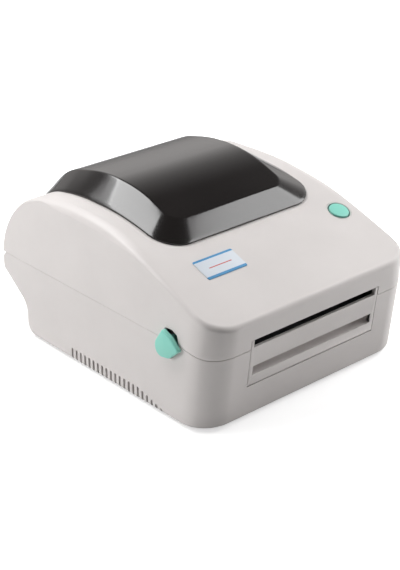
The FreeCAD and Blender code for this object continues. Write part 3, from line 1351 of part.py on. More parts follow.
make_lower_case()
make_top_cover()
make_window()
make_button()
make_name_plate()
make_front_panel()
make_base()
make_tray()
make_sensor()
make_guides()
make_drive()
make_side_plate("side_plate_left", -1)
make_side_plate("side_plate_right", 1)
make_latch()
make_cover_frame()
make_head()
make_hinge()
make_electrics()
make_screws()


# ---------------------------------------------------------------- check and write

doc.recompute()
for thing in doc.Objects:
    if "Invalid" in thing.State or "Error" in thing.State:
        raise RuntimeError(f"{thing.Name} failed: {thing.State}")
os.makedirs("parts", exist_ok=True)
for label, piece in pieces.items():
    if piece.Shape.isNull() or not piece.Shape.isValid():
        raise RuntimeError(f"{label} has no valid shape")
for label, piece in pieces.items():
    piece.Shape.exportStep(f"parts/{label}.step")
    print(f"{label}: {len(piece.Shape.Solids)} solid(s), {piece.Shape.Volume:.0f} mm3")
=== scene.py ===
import json
import math
import bmesh
import bpy
import numpy as np
from mathutils import Matrix, Vector

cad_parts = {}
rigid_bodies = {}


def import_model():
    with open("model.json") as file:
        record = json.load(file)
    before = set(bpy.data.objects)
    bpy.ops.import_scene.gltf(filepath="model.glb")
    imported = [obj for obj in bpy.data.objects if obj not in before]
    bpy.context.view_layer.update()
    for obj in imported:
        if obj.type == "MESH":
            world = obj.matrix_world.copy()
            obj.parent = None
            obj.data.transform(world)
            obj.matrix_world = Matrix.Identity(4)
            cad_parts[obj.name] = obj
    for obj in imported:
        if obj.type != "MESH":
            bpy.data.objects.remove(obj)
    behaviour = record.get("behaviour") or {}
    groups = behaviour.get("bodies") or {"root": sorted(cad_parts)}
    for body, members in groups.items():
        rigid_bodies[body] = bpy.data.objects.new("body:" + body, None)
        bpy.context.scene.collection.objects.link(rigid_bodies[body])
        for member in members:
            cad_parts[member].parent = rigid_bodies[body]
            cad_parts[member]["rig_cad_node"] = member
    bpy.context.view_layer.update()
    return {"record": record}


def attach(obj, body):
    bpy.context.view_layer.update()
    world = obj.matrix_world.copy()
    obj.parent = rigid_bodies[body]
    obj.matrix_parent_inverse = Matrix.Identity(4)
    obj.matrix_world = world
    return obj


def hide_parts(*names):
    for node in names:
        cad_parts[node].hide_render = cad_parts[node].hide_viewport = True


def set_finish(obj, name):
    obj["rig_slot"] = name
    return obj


for leftover in list(bpy.data.objects):
    bpy.data.objects.remove(leftover)
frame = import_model()

MM = 0.001

# ------------------------------------------------------------------ the case's form, in millimetres

HALF = 89.0
FRONT = -106.25
REAR = 104.75
CORNER = 22.0
APRON = 0.8  # height of the case's lower edge
NOSE = 70.5  # height of the front face
CREST = 105.3
CREST_FRONT = FRONT + 94.6
CREST_REAR = REAR - 60.4
CREST_ROUND = 190
BROW_ROUND = 155
CROWN = 118.3
SHOULDER = 95.5
SHOULDER_ROUND = 50
SLOPE = math.atan2(CREST - NOSE, CREST_FRONT - FRONT)
SEAM = 54.0
SEAM_FRONT = 50.5
SEAM_GAP = 0.22
WALL = 2.5
HINGE = (REAR - 1.8, SEAM + 0.2)

# Leaning walls: how far each rises, how far it leans over that, and the length of the two together.
FRONT_FACE = (67.5, 8.0, 67.97)
SIDE_FACE = (51.3, 5.0, 51.54)
SKIRT_FACE = (17.5, 23.0, 28.9)
SKIRT = 80.5
SKIRT_KNEE = 22.2

# The bands beside the window slope down outwards. The slope grows from the front and dies out before the
# rear shoulder.
BAND_START = 78.5
BAND_SLOPE = 0.75
BAND_DELAY = 25
BAND_GROWTH = 75
BAND_END = (40, 80)
BAND_CLEARANCE = 4
BAND_ROUND = 2.5

# Roundings, in millimetres. The top's edge is softer at the front than along the sides.
EDGE_FRONT = 3.1
EDGE_SIDE = 1.7
KNEE_ROUND = 3.5
SKIRT_FOOT_ROUND = 9
SKIRT_ROUND = 4
FOOT_ROUND = 1.8


def chain(corners):
    """Half-planes and arcs of a convex outline walked clockwise through (y, z, radius) corners."""
    points = [np.array(c[:2], float) for c in corners]
    edges = []
    for a, b in zip(points, points[1:]):
        along = (b - a) / np.linalg.norm(b - a)
        normal = np.array((-along[1], along[0]))
        edges.append((normal, normal @ a))
    arcs = []
    for i, corner in enumerate(corners[1:-1], start=1):
        before = edges[i - 1][0]
        after = edges[i][0]
        half = math.acos(np.clip(before @ after, -1, 1)) / 2
        middle = before + after
        middle /= np.linalg.norm(middle)
        radius = corner[2]
        centre = points[i] - middle * radius / math.cos(half)
        arcs.append((centre, radius, before, after))
    return edges, arcs


def chain_distance(shape, y, z):
    """Distance outside a convex outline, negative within it."""
    edges, arcs = shape
    result = np.full(np.broadcast(y, z).shape, -1e9)
    for normal, offset in edges:
        result = np.maximum(result, normal[0] * y + normal[1] * z - offset)
    for centre, radius, before, after in arcs:
        dy = y - centre[0]
        dz = z - centre[1]
        past_before = before[1] * dy - before[0] * dz >= 0
        past_after = after[1] * dy - after[0] * dz <= 0
        outward = (before + after) @ np.stack((dy.ravel(), dz.ravel())) > 0
        inside = past_before & past_after & outward.reshape(dy.shape)
        result = np.where(inside, np.hypot(dy, dz) - radius, result)
    return result


def meet(a, b, radius):
    """Intersection of two forms with a rounded edge."""
    over_a = np.maximum(a + radius, 0)
    over_b = np.maximum(b + radius, 0)
    return np.minimum(np.maximum(a, b), -radius) + np.hypot(over_a, over_b)


def join(a, b, radius):
    """Union of two forms with a filled corner."""
    return -meet(-a, -b, radius)


def ramp(value, low, high):
    """0 below low and 1 above high, with a smooth rise between."""
    share = np.clip((value - low) / (high - low), 0, 1)
    return share * share * (3 - 2 * share)


def leaning(out, along, face):
    """Distance outside a leaning wall, from the distances out from and along its upright."""
    rise, lean, length = face
    return (out * rise + along * lean) / length


BEFORE_NOSE = 95
TOP = chain([(FRONT - BEFORE_NOSE, NOSE - BEFORE_NOSE * math.tan(SLOPE)), (CREST_FRONT, CREST, CREST_ROUND),
             (CREST_REAR, CREST, BROW_ROUND), (REAR, SHOULDER, SHOULDER_ROUND), (REAR, -60)])


def case_form(p):
    """Signed distance, roughly, of the whole closed case."""
    x = np.abs(p[..., 0])
    y = p[..., 1]
    z = p[..., 2]
    front = leaning(FRONT - y, NOSE - z, FRONT_FACE)
    wall = np.maximum(x - HALF, leaning(x - HALF, z - SEAM, SIDE_FACE))
    upright = meet(front, wall, CORNER)
    fade = np.clip((y - FRONT - BAND_DELAY) / BAND_GROWTH, 0, 1) * (1 - ramp(y, *BAND_END))
    slant = BAND_SLOPE * (x - BAND_START) * fade - BAND_CLEARANCE * (1 - fade)
    top = meet(chain_distance(TOP, y, z), chain_distance(TOP, y, z + slant), BAND_ROUND)
    edge_round = EDGE_FRONT - (EDGE_FRONT - EDGE_SIDE) * ramp(y, FRONT + 17, FRONT + 50)
    form = meet(top, upright, edge_round)
    skirt = join(y - SKIRT, leaning(y - SKIRT, SKIRT_KNEE - z, SKIRT_FACE), KNEE_ROUND)
    skirt = meet(skirt, APRON - z, SKIRT_FOOT_ROUND)
    form = meet(form, meet(skirt, wall, SKIRT_ROUND), SKIRT_ROUND)
    return meet(form, APRON - z, FOOT_ROUND)


def front_at(z):
    """Y of the front face at a height."""
    rise, lean, _ = FRONT_FACE
    return FRONT + lean * (NOSE - z) / rise


def top_line(y):
    """Height of the case's top along its middle, ahead of the crest."""
    return NOSE + (y - FRONT) * math.tan(SLOPE)


def on_top(point):
    """The frame of a point on the sloping top, with Z along the slope's normal."""
    return Matrix.Translation(Vector(point) * MM) @ Matrix.Rotation(SLOPE, 4, "X")


def seam_gap(y):
    """Width of the parting line, which narrows along the sides."""
    return SEAM_GAP * (1 - 0.6 * ramp(y, FRONT + 26, FRONT + 60))


def seam_height(y):
    """Height of the parting line, which steps down round the front."""
    return SEAM_FRONT + (SEAM - SEAM_FRONT) * ramp(y, FRONT + 5, FRONT + 27)


REACH = 230.0


def cast(form, origin, direction, level=0.0, steps=26):
    """Where rays from inside reach a level of the form."""
    low = np.full(direction.shape[:-1], 1.0)
    high = np.full(direction.shape[:-1], REACH)
    for _ in range(steps):
        middle = (low + high) / 2
        outside = form(origin + direction * middle[..., None]) > level
        high = np.where(outside, middle, high)
        low = np.where(outside, low, middle)
    return origin + direction * ((low + high) / 2)[..., None]


def unit(v):
    return v / np.linalg.norm(v, axis=-1, keepdims=True)


def rounded_loop(half_x, front, rear, radius_front, radius_rear, counts):
    """Plan points round a rounded rectangle: front, right, rear and left sides with their corners."""
    side_x, side_y, corner = counts
    rear_corner = max(6, corner // 3) if radius_rear < radius_front / 3 else corner
    points = []

    def straight(a, b, count):
        for i in range(count):
            points.append((a[0] + (b[0] - a[0]) * i / count, a[1] + (b[1] - a[1]) * i / count))

    def turn(centre, radius, start, count):
        for i in range(count):
            angle = math.radians(start + 90 * i / count)
            points.append((centre[0] + radius * math.cos(angle), centre[1] + radius * math.sin(angle)))

    rf, rr = radius_front, radius_rear
    straight((-half_x + rf, front), (half_x - rf, front), side_x)
    turn((half_x - rf, front + rf), rf, -90, corner)
    straight((half_x, front + rf), (half_x, rear - rr), side_y)
    turn((half_x - rr, rear - rr), rr, 0, rear_corner)
    straight((half_x - rr, rear), (-half_x + rr, rear), side_x)
    turn((-half_x + rr, rear - rr), rr, 90, rear_corner)
    straight((-half_x, rear - rr), (-half_x, front + rf), side_y)
    turn((-half_x + rf, front + rf), rf, 180, corner)
    return np.array(points)


# ------------------------------------------------------------------ meshes

def tidy(obj, sharp=35):
    """Outward normals and smooth shading that breaks at edges."""
    work = bmesh.new()
    work.from_mesh(obj.data)
    bmesh.ops.remove_doubles(work, verts=work.verts, dist=1e-6)
    bmesh.ops.dissolve_degenerate(work, edges=work.edges, dist=1e-6)
    bmesh.ops.recalc_face_normals(work, faces=work.faces)
    work.to_mesh(obj.data)
    work.free()
    obj.data.shade_smooth()
    obj.data.set_sharp_from_angle(angle=math.radians(sharp))


def loose(name, vertices, faces):
    """A mesh object from vertices in millimetres, not yet on any body."""
    mesh = bpy.data.meshes.new(name)
    mesh.from_pydata([tuple(v) for v in np.asarray(vertices, float) * MM], [], faces)
    obj = bpy.data.objects.new(name, mesh)
    bpy.context.scene.collection.objects.link(obj)
    return obj


def make_piece(name, surface, body, slot, replaced=(), sharp=35, matrix=None):
    """A piece from (vertices, faces): placed by a matrix, riding on a body, cleaned and shaded."""
    obj = loose(name, *surface)
    if matrix is not None:
        obj.data.transform(matrix)
    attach(obj, body)
    if slot:
        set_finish(obj, slot)
    if replaced:
        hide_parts(*replaced)
    tidy(obj, sharp)
    return obj


def apply_modifiers(obj):
    graph = bpy.context.evaluated_depsgraph_get()
    mesh = bpy.data.meshes.new_from_object(obj.evaluated_get(graph))
    obj.modifiers.clear()
    old = obj.data
    obj.data = mesh
    bpy.data.meshes.remove(old)


def carve(obj, cutters):
    """Cuts several closed meshes out of an object and deletes them."""
    for cutting in cutters:
        tidy(cutting)
        boolean = obj.modifiers.new("carve", "BOOLEAN")
        boolean.operation = "DIFFERENCE"
        boolean.solver = "MANIFOLD"
        boolean.object = cutting
    bpy.context.view_layer.update()
    apply_modifiers(obj)
    for cutting in cutters:
        bpy.data.objects.remove(cutting)


def prism(outline, axis, low, high):
    """Vertices and faces of an outline of (u, v) points drawn out along an axis."""
    outline = np.asarray(outline, float)
    order = {"x": (1, 2), "y": (0, 2), "z": (0, 1)}[axis]
    count = len(outline)
    vertices = np.zeros((2 * count, 3))
    for layer, place in enumerate((low, high)):
        block = vertices[layer * count:(layer + 1) * count]
        block[:, order[0]] = outline[:, 0]
        block[:, order[1]] = outline[:, 1]
        block[:, "xyz".index(axis)] = place
    faces = [tuple(range(count))[::-1], tuple(range(count, 2 * count))]
    faces += [(i, (i + 1) % count, count + (i + 1) % count, count + i) for i in range(count)]
    return vertices, faces


def shell_mesh(rings, close_ends=False):
    """Vertices and faces of a stack of rings, capped at both ends or joined from the last to the first."""
    rows, count = rings.shape[:2]
    faces = []
    for row in range(rows - 1):
        for c in range(count):
            a = row * count + c
            b = row * count + (c + 1) % count
            faces.append((a, b, b + count, a + count))
    last = (rows - 1) * count
    if close_ends:
        faces.append(tuple(range(count)))
        faces.append(tuple(range(last, last + count))[::-1])
    else:
        faces += [(last + i, last + (i + 1) % count, (i + 1) % count, i) for i in range(count)]
    return rings.reshape(-1, 3), faces


def soft_polygon(corners, degrees=9):
    """Points of a closed outline whose (u, v, radius) corners are rounded, a point each few degrees."""
    points = []
    spots = [np.array(c[:2], float) for c in corners]
    for i, corner in enumerate(corners):
        spot = spots[i]
        back = unit(spots[i - 1] - spot)
        ahead = unit(spots[(i + 1) % len(spots)] - spot)
        radius = corner[2] if len(corner) > 2 else 0
        if radius <= 0:
            points.append(spot)
            continue
        half = math.acos(np.clip(back @ ahead, -1, 1)) / 2
        centre = spot + unit(back + ahead) * radius / math.sin(half)
        start = spot + back * radius / math.tan(half) - centre
        end = spot + ahead * radius / math.tan(half) - centre
        first = math.atan2(start[1], start[0])
        sweep = (math.atan2(end[1], end[0]) - first + math.pi) % (2 * math.pi) - math.pi
        count = max(2, int(abs(math.degrees(sweep)) / degrees) + 1)
        for k in range(count + 1):
            angle = first + sweep * k / count
            points.append(centre + radius * np.array((math.cos(angle), math.sin(angle))))
    return np.array(points)


def rounded_box_outline(u, v, radius):
    return soft_polygon([(u[0], v[0], radius), (u[1], v[0], radius),
                         (u[1], v[1], radius), (u[0], v[1], radius)], 15)


# ------------------------------------------------------------------ grids over the case

CORE = np.array((0.0, 0.0, 44.0))  # inside the case, where the rays start
LIP = 0.35  # rounding of the parting line's edges
ARC_SHARE = 0.29  # how deep an arc's middle lies, as a share of its radius


def even_lines(form, start, end, count, level=0.0, turning=26.0, fine=240):
    """Points on the form along each line from start to end directions, closer where it bends."""
    a = unit(start - CORE)
    b = unit(end - CORE)
    angle = np.arccos(np.clip((a * b).sum(-1), -1, 1))[None, :, None]

    def directions(share):
        return (np.sin((1 - share) * angle) * a + np.sin(share * angle) * b) / np.sin(angle)

    share = np.linspace(0, 1, fine)[:, None, None]
    stride = np.diff(cast(form, CORE, directions(share), level, steps=20), axis=0)
    length = np.linalg.norm(stride, axis=-1)
    heading = stride / np.maximum(length, 1e-9)[..., None]
    bend = np.zeros_like(length)
    bend[1:] = np.linalg.norm(np.diff(heading, axis=0), axis=-1)
    cost = length + turning * (bend + np.roll(bend, -1, axis=0)) / 2
    total = np.concatenate((np.zeros((1, cost.shape[1])), np.cumsum(cost, axis=0)))
    picked = np.empty((count, cost.shape[1]))
    for c in range(cost.shape[1]):
        picked[:, c] = np.interp(np.linspace(0, total[-1, c], count), total[:, c], share[:, 0, 0])
    return cast(form, CORE, directions(picked[..., None]), level)


def rim_ring(plan, level, lift):
    """A ring of the case near the parting line: level below the surface, lift above the line."""
    aim = np.zeros((len(plan), 3))
    aim[:, :2] = plan
    flat = unit(aim)
    y = plan[:, 1]
    for _ in range(4):
        origin = np.zeros_like(aim)
        origin[:, 2] = seam_height(y) + lift
        ring = cast(case_form, origin, flat, level)
        y = ring[:, 1]
    return ring


def shell(plan, side, inner_edge, rows):
    """Closed skin from the parting line to an inner edge; side is 1 for the cover, -1 for the case."""
    gap = seam_gap(plan[:, 1]) / 2
    outer_start = rim_ring(plan, 0.0, side * (gap + LIP))
    outer = even_lines(case_form, outer_start, inner_edge, rows)
    inner_start = rim_ring(plan, -WALL, side * (gap + 0.1))
    inner = even_lines(case_form, inner_start, inner_edge, INNER_ROWS, -WALL, 8, 120)
    lip = [rim_ring(plan, -LIP, side * gap),
           rim_ring(plan, -LIP * ARC_SHARE, side * (gap + LIP * ARC_SHARE))]
    return np.concatenate((inner[::-1], np.array(lip), outer))


COUNTS = ((96, 110, 34))
WINDOW_COUNTS = ((72, 170, 26))
COVER_ROWS, CASE_ROWS, INNER_ROWS = ((120, 100, 60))
plan = rounded_loop(HALF, FRONT + 2, REAR, CORNER, 4, COUNTS)

# ------------------------------------------------------------------ top cover

WINDOW_HALF = 65.0
WINDOW_FRONT = FRONT + 66
TAIL = 66.0
RIM_SEAT = 0.3
RIM_SHOULDER_ROUND = 54
CROWN_HALF = 48.0
CROWN_FRONT = FRONT + 79.5
CROWN_FRONT_HEIGHT = 105.6
CROWN_BROW = FRONT + 116
CROWN_ROUNDS = (110, 112, 52)
CROWN_REAR = REAR + 1.0
CROWN_SHOULDER = SHOULDER + 7.8
CROWN_TAIL = TAIL + 3.2


def open_curve(corners, start, end):
    """Points along an open outline with rounded corners, from y = start over the top and down to
    z = end at the rear, and the length run at each. Its first 60 points run only backwards."""
    fine = soft_polygon(corners, 0.5)
    first = np.array((start, np.interp(start, fine[:60, 0], fine[:60, 1])))
    fine = np.concatenate((first[None], fine[np.argmax(fine[:, 0] > start + 0.05):]))
    below = np.argmax((fine[:, 0] > start + 60) & (fine[:, 1] < end))
    before, after = fine[below - 1], fine[below]
    last = before + (after - before) * (before[1] - end) / (before[1] - after[1])
    fine = np.concatenate((fine[:below], last[None]))
    run = np.concatenate(([0], np.cumsum(np.linalg.norm(np.diff(fine, axis=0), axis=1))))
    return fine, run


def along(curve, distance):
    fine, run = curve
    return np.stack((np.interp(distance, run, fine[:, 0]), np.interp(distance, run, fine[:, 1])), -1)


def wrapped(curve, half, radius_front, radius_rear, counts, trim=0.0):
    """A rounded rectangle wrapped over a side curve: x across, arc length along."""
    flat = rounded_loop(half, trim, curve[1][-1] - trim, radius_front, radius_rear, counts)
    side = along(curve, flat[:, 1])
    return np.column_stack((flat[:, 0], side)), flat


rim_curve = open_curve([
    (FRONT, NOSE + RIM_SEAT), (CREST_FRONT, CREST + RIM_SEAT, CREST_ROUND),
    (CREST_REAR, CREST + RIM_SEAT, BROW_ROUND),
    (REAR + RIM_SEAT, SHOULDER + RIM_SEAT, RIM_SHOULDER_ROUND), (REAR + RIM_SEAT, 0)], WINDOW_FRONT, TAIL)
crown_curve = open_curve([
    (CROWN_FRONT, CROWN_FRONT_HEIGHT), (CROWN_BROW, CROWN, CROWN_ROUNDS[0]),
    (CREST_REAR, CROWN, CROWN_ROUNDS[1]), (CROWN_REAR, CROWN_SHOULDER, CROWN_ROUNDS[2]),
    (CROWN_REAR, 0)], CROWN_FRONT, CROWN_TAIL)

cover_edge, _ = wrapped(rim_curve, WINDOW_HALF - 4, 16, 4, COUNTS, 4)
cover = make_piece("cover_skin", shell_mesh(shell(plan, 1, cover_edge, COVER_ROWS)),
                   "cover", "case_plastic", ("top_cover",))

bottom_edge = np.zeros((len(plan), 3))
bottom_edge[:, :2] = rounded_loop(66, FRONT + 22, 60, 13, 4, COUNTS)
bottom_edge[:, 2] = APRON
case = make_piece("case_skin", shell_mesh(shell(plan, -1, bottom_edge, CASE_ROWS), True),
                  "base", "case_plastic", ("lower_case",))

# ------------------------------------------------------------------ smoked window

FOOT_ROUNDS = (20, 10)
CROWN_EDGE_ROUNDS = (11, 8)
LIP_HEIGHT = 0.85
LIP_SOFT = 0.3
CROWN_SOFT = 1.0
LIP_ROWS = 7  # outer rings that have no inner ring of their own
WINDOW_WALL = 2.0
FOOT_WALL = 1.6


def window_rings():
    """Rings of the window's outer face: up the lip, up the bevel, and in over the crown."""
    foot, laid = wrapped(rim_curve, WINDOW_HALF, *FOOT_ROUNDS, WINDOW_COUNTS)
    edge, flat = wrapped(crown_curve, CROWN_HALF, *CROWN_EDGE_ROUNDS, WINDOW_COUNTS)
    line, run = rim_curve
    rise = np.interp(laid[:, 1], run, np.gradient(line[:, 1], run))
    advance = np.interp(laid[:, 1], run, np.gradient(line[:, 0], run))
    up = unit(np.column_stack((np.zeros(len(foot)), -rise, advance)))
    lip = foot + up * LIP_HEIGHT
    half_run = crown_curve[1][-1] / 2

    def shrunk(share):
        distance = half_run + (flat[:, 1] - half_run) * (1 - share)
        return np.column_stack((flat[:, 0] * (1 - share), along(crown_curve, distance)))

    down_bevel = unit(lip - edge)
    over_crown = unit(shrunk(0.02) - edge)
    lip_low = lip + (foot - lip) * 0.25
    lip_high = lip - down_bevel * LIP_SOFT
    bevel_top = edge + down_bevel * CROWN_SOFT
    crown_start = edge + over_crown * CROWN_SOFT
    rings = [foot, foot + (lip - foot) * 0.6, lip_low, lip * 0.5 + (lip_low + lip_high) * 0.25, lip_high]
    rings += [lip + (bevel_top - lip) * share for share in np.linspace(0, 1, 9)[1:-1]]
    rings += [bevel_top * (1 - t) ** 2 + edge * 2 * t * (1 - t) + crown_start * t * t
              for t in np.linspace(0, 1, 7)]
    rings += [shrunk(0.02 + 0.98 * share) for share in 1 - np.linspace(1, 0.04, 36)[1:]]
    return np.array(rings)


def ring_normals(rings):
    """Outward normals of a grid of closed rings."""
    around = np.roll(rings, -1, axis=1) - np.roll(rings, 1, axis=1)
    across = np.gradient(rings, axis=0)
    return unit(np.cross(around, across))


def make_window():
    outer = window_rings()
    normal = ring_normals(outer)
    inner = outer[LIP_ROWS:] - normal[LIP_ROWS:] * WINDOW_WALL
    inner_foot = outer[0] - normal[LIP_ROWS + 1] * FOOT_WALL
    rings = np.concatenate((inner[::-1], inner_foot[None], outer))
    make_piece("window_skin", shell_mesh(rings, True), "cover", "smoked_plastic", ("smoked_window",), 40)


make_window()

# ------------------------------------------------------------------ cut-outs in the case

PANEL_HALF = 54.5
PANEL_LOW = 24.8
PANEL_GAP = 0.45
SLOT_LOW = 51.5
SLOT_HIGH = 57.0
SLOT_HALF = 52.5
FRONT_DEPTH = (FRONT - 10, FRONT + 15)
PORT_DEPTH = (74, 86)
SIDE_DEPTH = (80, 95)
LATCH = (FRONT + 38, 46.0)
RECESS = [(-9.8, 6, 0.8), (-2.5, -2.8, 2), (6.5, -2.5, 2), (7.5, 8, 2),
          (4, 15.5, 1), (-2, 16.2, 2), (-6.8, 14.2, 1.2)]
VENT_START = FRONT + 45
VENT_COUNT = 21
VENT_PITCH = 4.45
VENT_WIDTH = 2
VENT_TOP = 10
VENT_STEP = 1.1
HINGE_SPAN = (61.6, 80.4)
KNUCKLE_ROOM = 2.3
BUTTON = (69.0, FRONT + 51, top_line(FRONT + 51))
BUTTON_BORE = 8.55


def cutter(name, outline, axis, low, high):
    return loose(name, *prism(outline, axis, low, high))


def both_sides(name, outline, low, high):
    """Cutters of an outline in (y, z) on the right and left, between two distances from the middle."""
    return [cutter(name + "_right", outline, "x", low, high),
            cutter(name + "_left", outline, "x", -high, -low)]


def shifted(corners, origin):
    return [(c[0] + origin[0], c[1] + origin[1]) + tuple(c[2:]) for c in corners]


def front_cutter(name, half, low, high, radius):
    return cutter(name, rounded_box_outline((-half, half), (low, high), radius), "y", *FRONT_DEPTH)


def panel_cutter():
    return front_cutter("panel_cut", PANEL_HALF + PANEL_GAP, PANEL_LOW - 0.7, SLOT_HIGH, 0.8)


def recess_cutters():
    return both_sides("recess", soft_polygon(shifted(RECESS, LATCH)), *SIDE_DEPTH)


def vent_cutters():
    """The vents' slits, of which the first five are shorter."""
    cuts = []
    for i in range(VENT_COUNT):
        start = VENT_START + VENT_PITCH * i
        top = VENT_TOP - VENT_STEP * max(5 - i, 0)
        outline = soft_polygon([(start, -2), (start + VENT_WIDTH, -2),
                                (start + VENT_WIDTH, top, 0.98), (start, top, 0.98)])
        cuts += both_sides(f"vent_{i}", outline, *SIDE_DEPTH)
    return cuts


def hinge_cutters(low, high):
    inside = REAR - WALL - 1.7
    outline = [(inside, low), (REAR + 5, low), (REAR + 5, high), (inside, high)]
    return both_sides("hinge", outline, *HINGE_SPAN)


def round_cutter(name, matrix, radius, low, high, sides=72):
    angle = np.linspace(0, 2 * math.pi, sides, endpoint=False)
    circle = np.column_stack((np.cos(angle), np.sin(angle))) * radius
    obj = cutter(name, circle, "z", low, high)
    obj.data.transform(matrix)
    return obj


def swing_cutter():
    """Room at the rear for the cover's edge as it swings open, clear of the hinge knuckles."""
    reach = KNUCKLE_ROOM * math.sqrt(2)
    behind = REAR + 4
    outline = [(HINGE[0] - reach, HINGE[1]), (HINGE[0] - reach, HINGE[1] + 2),
               (behind, HINGE[1] + 2), (behind, HINGE[1] - (behind - HINGE[0]) - reach)]
    return cutter("swing", outline, "x", -95, 95)


sliver = cutter("panel_sliver", rounded_box_outline((PANEL_HALF + 0.1, PANEL_HALF + 1.0),
                                                    (SEAM_FRONT - 1, 57), 0.3), "y", *FRONT_DEPTH)
carve(cover, [panel_cutter(), sliver] + recess_cutters() + hinge_cutters(SEAM - 3, HINGE[1] + 2.2)
      + [round_cutter("button_cut", on_top(BUTTON), BUTTON_BORE, -8, 8)])
tidy(cover)

case_cuts = [panel_cutter()] + recess_cutters() + vent_cutters() + hinge_cutters(SEAM - 2.2, SEAM + 3)
case_cuts.append(swing_cutter())
for name, across, upright in (("port_cut", (-6.3, 6.3), (10.3, 21.9)),
                              ("jack_cut", (-30.8, -21.2), (10.3, 21.9)),
                              ("switch_cut", (-64.3, -49.7), (8.8, 20.8))):
    case_cuts.append(cutter(name, rounded_box_outline(across, upright, 0.6), "y", *PORT_DEPTH))
rear_slot = rounded_box_outline((-57.5, 57.5), (SEAM - 6.5, SEAM + 4), 0.8)
case_cuts.append(cutter("slot_cut", rear_slot, "y", 94, 110))
carve(case, case_cuts)
tidy(case)

# ------------------------------------------------------------------ front panel

PANEL_THICK = 2.5
POCKET_LOW = 31.5
POCKET_HIGH = 38
POCKET_HALF = 51.5
POCKET_DEPTH = 8.0
TROUGH_LOW = 33.4
TROUGH_WALL = 1.2


def bevel(obj, width):
    modifier = obj.modifiers.new("soft", "BEVEL")
    modifier.width = width * MM
    modifier.segments = 3
    modifier.limit_method = "ANGLE"
    modifier.angle_limit = math.radians(35)
    modifier.use_clamp_overlap = True
    bpy.context.view_layer.update()
    apply_modifiers(obj)


def bar(name, outline, ends, body, slot, replaced=()):
    """A piece with an outline in (y, z), drawn out along X between its ends."""
    return make_piece(name, prism(outline, "x", *ends), body, slot, replaced)


def make_panel():
    """The panel's plate with its two mouths, and the trough behind the lower one."""
    high = SLOT_HIGH - PANEL_GAP
    face = [(front_at(PANEL_LOW), PANEL_LOW), (front_at(PANEL_LOW) + PANEL_THICK, PANEL_LOW),
            (front_at(high) + PANEL_THICK, high), (front_at(high), high)]
    panel = bar("panel_skin", face, (-PANEL_HALF, PANEL_HALF), "base", "case_plastic", ("front_panel",))
    carve(panel, [front_cutter("slot_mouth", SLOT_HALF, SLOT_LOW, SLOT_HIGH + 6, 0.6),
                  front_cutter("pocket_mouth", POCKET_HALF, POCKET_LOW, POCKET_HIGH, 0.5)])
    bevel(panel, 0.28)
    tidy(panel, 50)

    mouth = front_at(POCKET_LOW)
    back = mouth + POCKET_DEPTH
    wall = TROUGH_WALL
    line = soft_polygon([
        (mouth + 0.5, POCKET_LOW - wall), (back + wall, TROUGH_LOW - wall, 1.5),
        (back + wall, POCKET_HIGH + wall, 2), (mouth + 0.5, POCKET_HIGH + wall),
        (front_at(POCKET_HIGH) + 0.9, POCKET_HIGH + 0.02), (back, POCKET_HIGH, 2.2),
        (back, TROUGH_LOW, 1.2), (front_at(POCKET_LOW) + 0.4, POCKET_LOW - 0.02)])
    bar("panel_trough", line, (-POCKET_HALF - 0.1, POCKET_HALF + 0.1), "base", "case_plastic")
    end = soft_polygon([
        (mouth + 0.6, POCKET_LOW - wall), (back + wall, TROUGH_LOW - wall, 1.5),
        (back + wall, POCKET_HIGH + wall, 2), (front_at(POCKET_HIGH) + 0.6, POCKET_HIGH + wall)])
    for tag, side in (("left", -1), ("right", 1)):
        ends = sorted((side * POCKET_HALF, side * (POCKET_HALF + wall)))
        bar(f"trough_end_{tag}", end, ends, "base", "case_plastic")


make_panel()

# ------------------------------------------------------------------ levers, button, name plate

LEVER = [(-12.6, 6.8, 1.2), (-3.5, -1.4, 6), (6.8, -3.4, 5.5), (10.2, 4.5, 8), (2.2, 16.4, 1.6),
         (-5.4, 13.2, 12)]
STEM = [(-3, 0.5, 1), (4, 0, 1), (4.2, 9, 2), (-1, 12, 2), (-4.5, 6, 2)]
LEVER_RISE = 2.1
LEVER_SHOULDER = 1.3
LEVER_CROWN = 0.5


def make_lever(tag, side):
    """A domed pad over the lever's outline, standing on the side wall, and the stem behind it."""
    outline = soft_polygon(shifted(LEVER, LATCH), 6)
    base = HALF + 0.5
    centre = outline.mean(axis=0)
    spread = np.linalg.norm(outline - centre, axis=1).mean()
    levels = [(1, -0.6), (1, 0), (1, LEVER_RISE - LEVER_SHOULDER)]
    for turn in np.radians((15, 30, 45, 60, 75, 90)):
        inset = LEVER_SHOULDER * (1 - math.cos(turn))
        levels.append((1 - inset / spread, LEVER_RISE - LEVER_SHOULDER + LEVER_SHOULDER * math.sin(turn)))
    for share in (0.8, 0.6, 0.4, 0.2, 0.06):
        levels.append(((1 - LEVER_SHOULDER / spread) * share, LEVER_RISE + LEVER_CROWN * (1 - share * share)))
    rings = np.array([np.column_stack((np.full(len(outline), side * (base + height)),
                                       centre + (outline - centre) * scale)) for scale, height in levels])
    make_piece(f"lever_{tag}", shell_mesh(rings, True), "latch", "mint_plastic",
               (f"release_lever_{tag}",), 60)
    ends = sorted((side * (HALF - 6), side * (HALF + 0.2)))
    bar(f"lever_stem_{tag}", soft_polygon(shifted(STEM, LATCH)), ends, "latch", "mint_plastic")


make_lever("left", -1)
make_lever("right", 1)


